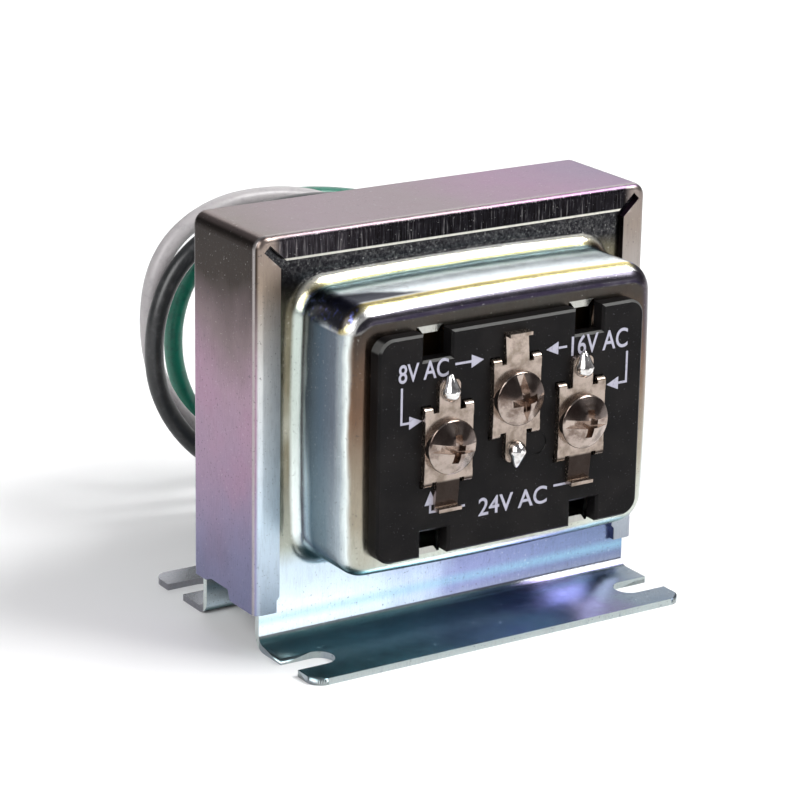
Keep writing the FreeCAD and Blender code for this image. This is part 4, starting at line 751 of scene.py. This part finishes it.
def core_stack(name, outline, finish, tree):
    pitch = STACK / SHEETS
    front = -STACK / 2 - MIDDLE
    corners, faces = prism(outline, front, front + SHEET_SHARE * pitch)
    one = piece_from(name + "_one", corners, faces, finish)
    mesh = one.data
    bpy.data.objects.remove(one)
    values = {"Sheets": SHEETS, "Pitch": pitch * MM, "Finish": finish}
    return grown(name, tree, values, mesh)


def core(finish):
    """The E and I sheets. The middle leg is as wide as two yokes."""
    tree = stack_tree()
    joint = CORE_LOW + YOKE
    low = CORE_TOP - YOKE
    leg = CORE_HALF - YOKE
    cut = CORE_HALF - CORNER_CUT
    e_shape = [
        (-CORE_HALF, joint), (-leg, joint), (-leg, low), (-YOKE, low), (-YOKE, joint),
        (YOKE, joint), (YOKE, low), (leg, low), (leg, joint), (CORE_HALF, joint),
        (CORE_HALF, CORE_TOP - CORNER_CUT), (cut, CORE_TOP), (-cut, CORE_TOP),
        (-CORE_HALF, CORE_TOP - CORNER_CUT)]
    i_shape = [
        (-CORE_HALF, CORE_LOW), (CORE_HALF, CORE_LOW), (CORE_HALF, joint), (-CORE_HALF, joint)]
    for node, outline in (("e_core", e_shape), ("i_core", i_shape)):
        stack = core_stack(node + "_sheets", outline, finish, tree)
        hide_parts(node)
        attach(stack, "root")


# ---------------------------------------------------------------- front cover

def slot_corners(side, rise):
    """One slot, out to the board's edge, round the little tongue left standing there.

    side is -1 for the left and 1 for the right, and rise 1 for the top and -1 for the foot.
    """
    root, tip = 1.7, 1.1
    half = [(SLOT_HALF, SLOT_START), (SLOT_HALF, SLOT_END), (root, SLOT_END),
            (tip, SLOT_END - TONGUE_LONG)]
    spots = half + [(-x, z) for x, z in half[::-1]]
    outline = [(side * SLOT_MIDDLE + x, BOARD_HIGH + rise * z) for x, z in spots]
    return outline if rise > 0 else outline[::-1]


def front_cover(finish):
    """The front cover, with its four slots cut out to the board's edge."""
    corners = []
    faces = []
    for side in (-1, 1):
        for rise in (-1, 1):
            start = len(corners)
            spots, sides = prism(slot_corners(side, rise), DOME_FLAT - 0.5, DOME_FLAT + 1.5)
            corners.extend(spots)
            faces.extend(tuple(start + i for i in face) for face in sides)
    cutter = piece_from("slot_cutter", corners, faces, finish)
    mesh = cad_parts["front_cover"].data.copy()
    reworked(mesh, lambda work: bmesh.ops.remove_doubles(work, verts=work.verts, dist=0.0005 * MM))
    mesh.materials.clear()
    mesh.materials.append(finish)
    cover = link("front_cover_start", mesh)
    cut = cover.modifiers.new("slots", "BOOLEAN")
    cut.object = cutter
    cut.operation = "DIFFERENCE"
    cut.solver = "EXACT"
    made = plain_mesh(cover, "front_cover_steel")
    bpy.data.objects.remove(cutter)
    # smooth bends beside level flats
    for face in made.data.polygons:
        face.use_smooth = True
    made.data.set_sharp_from_angle(angle=math.radians(32))
    level = made.modifiers.new("level_flats", "WEIGHTED_NORMAL")
    level.mode = "FACE_AREA"
    level.weight = 100
    level.keep_sharp = True
    made = plain_mesh(made, "front_cover_steel")
    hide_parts("front_cover")
    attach(made, "root")


# ---------------------------------------------------------------- hub

def hub(finish):
    """Collar inside the cover, neck in its hole, shoulder outside, and the thread to its mouth."""
    profile = [
        (HUB_BORE, 15.0), (10.2, 15.0), (10.2, 15.6), (9.2, 15.6), (9.2, 16.5), (12.3, 16.5),
        (12.5, 16.7), (12.5, 17.3), (12.3, 17.5), (THREAD_ROOT, 17.5), (THREAD_ROOT, 26.0),
        (8.9, 26.5), (HUB_BORE, 26.5)]
    body = turned("hub_body", profile, finish)
    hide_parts("hub")
    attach(body, "root")
    values = {
        "Turns": THREAD_TURNS, "Radius": (THREAD_OUT - THREAD_RIDGE) * MM,
        "Long": THREAD_LONG * MM, "Ridge": THREAD_RIDGE * MM, "Finish": finish}
    start = Matrix.Translation((0.0, THREAD_START * MM, HUB_HIGH * MM))
    lie_down = start @ Matrix.Rotation(-math.pi / 2, 4, "X")
    thread = grown("hub_ridge", thread_tree(), values, place=lie_down)
    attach(thread, "root")


# ---------------------------------------------------------------- leads

# from the middle of the core, the bared end last
WHITE_ROUTE = [
    (-4.2, 24.0, 29.35), (-4.2, 36.6, 29.35), (6.6, 42.2, 23.5), (16.2, 43.6, 27.0),
    (19.2, 43.8, 35.2), (13.6, 44.0, 42.4), (3.8, 43.9, 44.9), (-7.2, 44.0, 44.3),
    (-15.4, 43.8, 38.6), (-17.6, 43.6, 28.2), (-15.0, 43.4, 17.0), (-6.8, 42.8, 9.0),
    (4.6, 41.0, 6.4), (14.8, 38.4, 9.6)]
BLACK_ROUTE = [
    (2.1, 24.0, 25.7127), (2.1, 36.4, 25.7127), (13.2, 41.2, 21.8), (21.4, 41.4, 26.6),
    (23.4, 41.0, 35.4), (17.4, 40.6, 42.4), (6.6, 40.2, 44.4), (-5.6, 40.2, 43.2),
    (-14.8, 40.0, 38.0), (-18.8, 39.8, 28.6), (-17.6, 39.6, 17.8), (-10.2, 38.6, 8.4),
    (2.0, 36.4, 4.4), (12.8, 33.6, 4.8)]
GREEN_ROUTE = [
    (2.1, 24.0, 32.9873), (2.1, 41.4, 32.9873), (13.0, 47.6, 21.6), (11.0, 48.0, 10.6),
    (2.4, 48.2, 6.6), (-6.4, 48.2, 10.6), (-10.8, 48.0, 19.2), (-11.0, 47.8, 28.6),
    (-6.8, 47.4, 36.6), (1.0, 47.8, 41.8), (10.6, 48.0, 43.4), (20.2, 47.8, 41.2)]


def in_frame(point):
    """A point given from the core's middle, in metres in the frame."""
    x, y, z = point
    return Vector((x * MM, (y - MIDDLE) * MM, z * MM))


def lead(colour, route, finish, copper, tree):
    name = "lead_" + colour
    curve = bpy.data.curves.new(name + "_wire", "CURVE")
    curve.dimensions = "3D"
    spline = curve.splines.new("NURBS")
    spline.points.add(len(route) - 1)
    for knot, point in zip(spline.points, route):
        knot.co = (*in_frame(point), 1.0)
    spline.order_u = 3
    spline.use_endpoint_u = True
    spline.resolution_u = 12
    curve.bevel_depth = LEAD / 2 * MM
    curve.bevel_resolution = 6
    curve.use_fill_caps = True
    curve.materials.append(finish)
    wire = link(name + "_wire", curve)
    end = in_frame(route[-1])
    along = (end - in_frame(route[-2])).normalized()
    turn = Vector((0, 0, 1)).rotation_difference(along).to_matrix().to_4x4()
    values = {
        "Strands": STRANDS, "Wire": STRAND * MM, "Long": STRIP * MM, "Turns": LAY,
        "Finish": copper}
    strands = grown("strands_" + colour, tree, values, place=Matrix.Translation(end) @ turn)
    for face in strands.data.polygons:
        face.use_smooth = True
    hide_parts(name)
    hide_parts("conductor_" + colour)
    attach(wire, "root")
    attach(strands, "root")


# ---------------------------------------------------------------- solder

DROP_LONG = 1.5       # half its length, before the point
DROP_POINT = 0.75     # how far the point runs on
DROP_HALF = 1.30
DROP_THICK = 1.55
DROP_TAPER = 0.42     # how much narrower it is just before the point


def solder_drop(node, way, finish):
    """Solder that ran along its lug to a point: way is 1 for a point at the top, else -1."""
    low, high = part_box(node)
    middle = (low[0] + high[0]) / 2 / MM
    level = (low[2] + high[2]) / 2 / MM
    lug = high[1] / MM
    rings, around = 22, 32
    corners = [(middle, lug - 0.2, level - way * DROP_LONG)]
    for i in range(1, rings):
        along = -1.0 + 2.0 * i / rings
        ahead = max(along, 0.0)
        round_by = math.sqrt(1.0 - along * along) * (1.0 - DROP_TAPER * ahead)
        rise = along * DROP_LONG + DROP_POINT * ahead ** 2
        for j in range(around):
            angle = 2 * math.pi * j / around
            forward = math.sin(angle)
            deep = (DROP_THICK if forward > 0 else 0.10) * forward
            corners.append((
                middle + DROP_HALF * round_by * math.cos(angle), lug - 0.02 - round_by * deep,
                level + way * rise))
    corners.append((middle, lug - 0.2, level + way * (DROP_LONG + DROP_POINT)))
    faces = []
    for i in range(rings - 2):
        for j in range(around):
            a = 1 + i * around + j
            b = 1 + i * around + (j + 1) % around
            faces.append((a, b, b + around, a + around))
    last = len(corners) - 1
    for j in range(around):
        k = (j + 1) % around
        faces.append((0, 1 + k, 1 + j))
        faces.append((last, last - around + j, last - around + k))
    drop = piece_from(node + "_drop", corners, faces, finish, smooth=True)
    reworked(drop.data, lambda work: bmesh.ops.recalc_face_normals(work, faces=work.faces))
    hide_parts(node)
    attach(drop, "root")


# ---------------------------------------------------------------- print on the board

def figures(text, left, right, low, high):
    """Corners and faces of printed figures that fill that space on the board."""
    curve = bpy.data.curves.new("figures", "FONT")
    curve.body = text
    curve.offset = 0.010
    made = plain_mesh(link("figures", curve), "figures")
    xs = [vertex.co.x for vertex in made.data.vertices]
    ys = [vertex.co.y for vertex in made.data.vertices]
    faces = [tuple(face.vertices) for face in made.data.polygons]
    bpy.data.objects.remove(made)
    first, lowest = min(xs), min(ys)
    wide = (right - left) / (max(xs) - first)
    tall = (high - low) / (max(ys) - lowest)
    corners = [(left + (x - first) * wide, low + (y - lowest) * tall) for x, y in zip(xs, ys)]
    return corners, faces


def bar(start, end):
    """A printed line between two spots, level or upright."""
    (x, z), (u, w) = start, end
    half = PRINT_LINE / 2
    if abs(u - x) > abs(w - z):
        x, u = min(x, u), max(x, u)
        return [(x, z - half), (u, z - half), (u, z + half), (x, z + half)]
    z, w = min(z, w), max(z, w)
    return [(x - half, z), (x + half, z), (x + half, w), (x - half, w)]


def arrow_head(tip, way):
    """A filled head that points along way."""
    (x, z), (u, w) = tip, way
    back_x, back_z = x - u * HEAD_LONG, z - w * HEAD_LONG
    side_x, side_z = w * HEAD_HALF, u * HEAD_HALF
    return [(x, z), (back_x - side_x, back_z + side_z), (back_x + side_x, back_z - side_z)]


# text, then its left, right, foot and top
FIGURES = [
    ("8V AC", -17.2, -9.9, 37.8, 40.2), ("16V AC", 8.7, 17.5, 37.5, 40.1),
    ("24V AC", -4.9, 5.6, 18.4, 20.8)]
EDGE = PRINT_LINE / 2
LINES = [
    ((-8.9, 39.15), (-6.5, 39.15)),
    ((-16.7, 37.2), (-16.7, 32.55 - EDGE)), ((-16.7 + EDGE, 32.55), (-15.5, 32.55)),
    ((8.0, 38.9), (6.7, 38.9)),
    ((17.5, 36.9), (17.5, 32.8 - EDGE)), ((17.5 - EDGE, 32.8), (16.2, 32.8)),
    ((-7.0, 20.3), (-12.2 + EDGE, 20.3)), ((-12.2, 20.3 - EDGE), (-12.2, 21.3)),
    ((6.6, 20.5), (9.8, 20.5))]
HEADS = [
    ((-4.65, 39.15), (1, 0)), ((-13.7, 32.55), (1, 0)), ((4.8, 38.9), (-1, 0)),
    ((14.4, 32.8), (-1, 0)), ((-12.2, 23.1), (0, 1))]


def board_print(finish):
    """The voltages, with lines and arrows to their terminals."""
    corners = []
    faces = []

    def add(outline, polygons):
        start = len(corners)
        corners.extend((x, BOARD_FACE - PRINT_THICK, z) for x, z in outline)
        faces.extend(tuple(start + i for i in polygon) for polygon in polygons)

    for text, left, right, low, high in FIGURES:
        add(*figures(text, left, right, low, high))
    for start, end in LINES:
        add(bar(start, end), [(0, 1, 2, 3)])
    for tip, way in HEADS:
        add(arrow_head(tip, way), [(0, 1, 2)])
    flat = piece_from("board_print", corners, faces, finish)
    reworked(flat.data, toward_front)
    thick = flat.modifiers.new("ink", "SOLIDIFY")
    thick.thickness = (PRINT_THICK + 0.01) * MM
    thick.offset = -1.0
    made = plain_mesh(flat, "board_figures")
    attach(made, "root")


def toward_front(work):
    """Turns every face towards the front."""
    bmesh.ops.reverse_faces(work, faces=[face for face in work.faces if face.normal.y > 0])


# ---------------------------------------------------------------- studio

# the camera's angles in radians, and where it looks and stands
AZIMUTH = -0.57252
ELEVATION = 0.31317
ROLL = 0.01729
AIM = Vector((0.0, -MIDDLE, 24.4))
DISTANCE = 408.2
MOVE_LEFT = 2.609
MOVE_UP = 2.5045


def camera():
    """The photograph's view."""
    back = Vector((
        math.sin(AZIMUTH) * math.cos(ELEVATION), -math.cos(AZIMUTH) * math.cos(ELEVATION),
        math.sin(ELEVATION)))
    level = Vector((math.cos(AZIMUTH), math.sin(AZIMUTH), 0.0))
    upright = back.cross(level)
    right = math.cos(ROLL) * level + math.sin(ROLL) * upright
    up = math.cos(ROLL) * upright - math.sin(ROLL) * level
    spot = AIM + back * DISTANCE - right * MOVE_LEFT + up * MOVE_UP
    lens = bpy.data.cameras.new("camera")
    lens.sensor_width = 36.0
    lens.lens = 139.275
    lens.clip_start = 0.01
    lens.clip_end = 20.0
    made = link("camera", lens)
    turn = Matrix((right, up, back)).transposed().to_4x4()
    made.matrix_world = Matrix.Translation(spot * MM) @ turn
    bpy.context.scene.camera = made


def softbox(name, spot, wide, tall, power):
    """A large soft light that looks at the object's middle, placed in metres."""
    lamp = bpy.data.lights.new(name, "AREA")
    lamp.shape = "RECTANGLE"
    lamp.size = wide
    lamp.size_y = tall
    lamp.energy = power
    made = link(name, lamp)
    away = (Vector(spot) - Vector((0.0, 0.0, 0.03))).normalized()
    turn = away.to_track_quat("Z", "Y").to_matrix().to_4x4()
    made.matrix_world = Matrix.Translation(spot) @ turn


def sky():
    """A dim room round the white table: light at the horizon, darker overhead."""
    world = bpy.data.worlds.new("studio")
    bpy.context.scene.world = world
    world.use_nodes = True
    tree = world.node_tree
    tree.nodes.clear()
    where = outputs_of(tree, "ShaderNodeTexCoord")
    high = outputs_of(tree, "ShaderNodeSeparateXYZ", values={0: where["Generated"]})
    shade = outputs_of(tree, "ShaderNodeValToRGB", {"stops": [
        (0.0, (0.55, 0.55, 0.56)), (0.10, (0.30, 0.30, 0.31)), (0.45, (0.22, 0.22, 0.23)),
        (1.0, (0.16, 0.16, 0.17))]}, {0: high["Z"]})
    glow = outputs_of(tree, "ShaderNodeBackground", values={"Color": shade[0], "Strength": 1.0})
    add_node(tree, "ShaderNodeOutputWorld", values={"Surface": glow[0]})


def floor():
    """White table top that stays pale out to the horizon."""
    pale = Finish("pale_floor", (0.93, 0.93, 0.93), 0.8, Emission_Strength=1.0)
    away = pale.node("VectorMath", {"operation": "LENGTH"}, {0: pale.place()}, take=1)
    far = away.rises(0.45, 1.8)
    pale.feed("Emission Color", pale.mix(far, (0.0, 0.0, 0.0), (0.85, 0.85, 0.86)))
    reach = 3000
    made = piece_from("floor", [
        (-reach, -reach, 0), (reach, -reach, 0), (reach, reach, 0), (-reach, reach, 0)],
        [(0, 1, 2, 3)], pale.material)


# ---------------------------------------------------------------- the whole

def main():
    bpy.context.scene.view_settings.view_transform = "Standard"
    band_steel = sheet_steel("band_steel", band_tints_and_painted_light, 0.30)
    cover_steel = sheet_steel("cover_steel", cover_tints_and_painted_light, 0.22, drawn_walls)
    plate = nickel(
        "terminal_nickel", (0.36, 0.30, 0.26), (0.20, 0.16, 0.13), 0.26, shaded=wire_stops)
    screws = nickel(
        "screw_nickel", (0.40, 0.335, 0.295), (0.16, 0.12, 0.10), 0.16, (1.0, 1.0, 1.0),
        screw_domes)
    zinc = cast_zinc()
    copper = copper_wire("bare_copper", (0.80, 0.42, 0.24), (0.40, 0.17, 0.08), 0.4)
    fine = copper_wire("fine_winding", (0.46, 0.18, 0.07), (0.18, 0.06, 0.02), 0.22)
    heavy = copper_wire("heavy_winding", (0.62, 0.27, 0.10), (0.22, 0.08, 0.03), 0.7)
    brass = nickel("ground_brass", (0.74, 0.56, 0.28), (0.48, 0.34, 0.16), 0.30)
    bushing = moulded("bushing_nylon", (0.02, 0.02, 0.022), (0.035, 0.035, 0.037), 0.40)
    bobbin = moulded("bobbin_nylon", (0.62, 0.58, 0.48), (0.70, 0.66, 0.57), 0.42)
    cutoff = moulded("cutoff_case", (0.55, 0.57, 0.55), (0.66, 0.68, 0.66), 0.35)
    dress(band_steel, "band")
    dress(cover_steel, "rear_cover")
    dress(plate, "terminal_left", "terminal_centre", "terminal_right")
    dress(screws, "screw_left", "screw_centre", "screw_right")
    dress(screws, "splice_white", "splice_black", "ground_rivet")
    dress(terminal_board(), "terminal_board")
    dress(zinc, "locknut")
    dress(brass, "ground_terminal")
    dress(bushing, "lead_bushing")
    dress(bobbin, "bobbin")
    dress(fine, "primary_winding")
    dress(heavy, "secondary_winding")
    dress(tape(), "primary_wrap", "secondary_wrap")
    dress(cutoff, "thermal_cutoff")

    front_cover(cover_steel)
    bright = solder()
    for node, way in (("solder_left", 1), ("solder_centre", -1), ("solder_right", 1)):
        solder_drop(node, way, bright)
    core(core_steel())
    hub(zinc)

    tree = strand_tree()
    white = sheath("white_vinyl", (0.37, 0.35, 0.355), (0.31, 0.295, 0.30), 0.42)
    black = sheath("black_vinyl", (0.012, 0.013, 0.014), (0.030, 0.030, 0.032), 0.34)
    green = sheath("green_vinyl", (0.002, 0.135, 0.085), (0.002, 0.09, 0.06), 0.36)
    lead("white", WHITE_ROUTE, white, copper, tree)
    lead("black", BLACK_ROUTE, black, copper, tree)
    lead("green", GREEN_ROUTE, green, copper, tree)
    board_print(ink())

    floor()
    sky()
    softbox("back_light", (0.50, 0.62, 0.58), 1.0, 0.8, 3.3)
    softbox("top_light", (0.46, -0.36, 0.72), 0.42, 0.42, 9.0)
    softbox("left_light", (-0.75, -0.35, 0.55), 0.6, 0.7, 7.0)
    softbox("front_light", (0.52, -0.83, 0.16), 0.6, 0.30, 1.0)
    camera()


main()
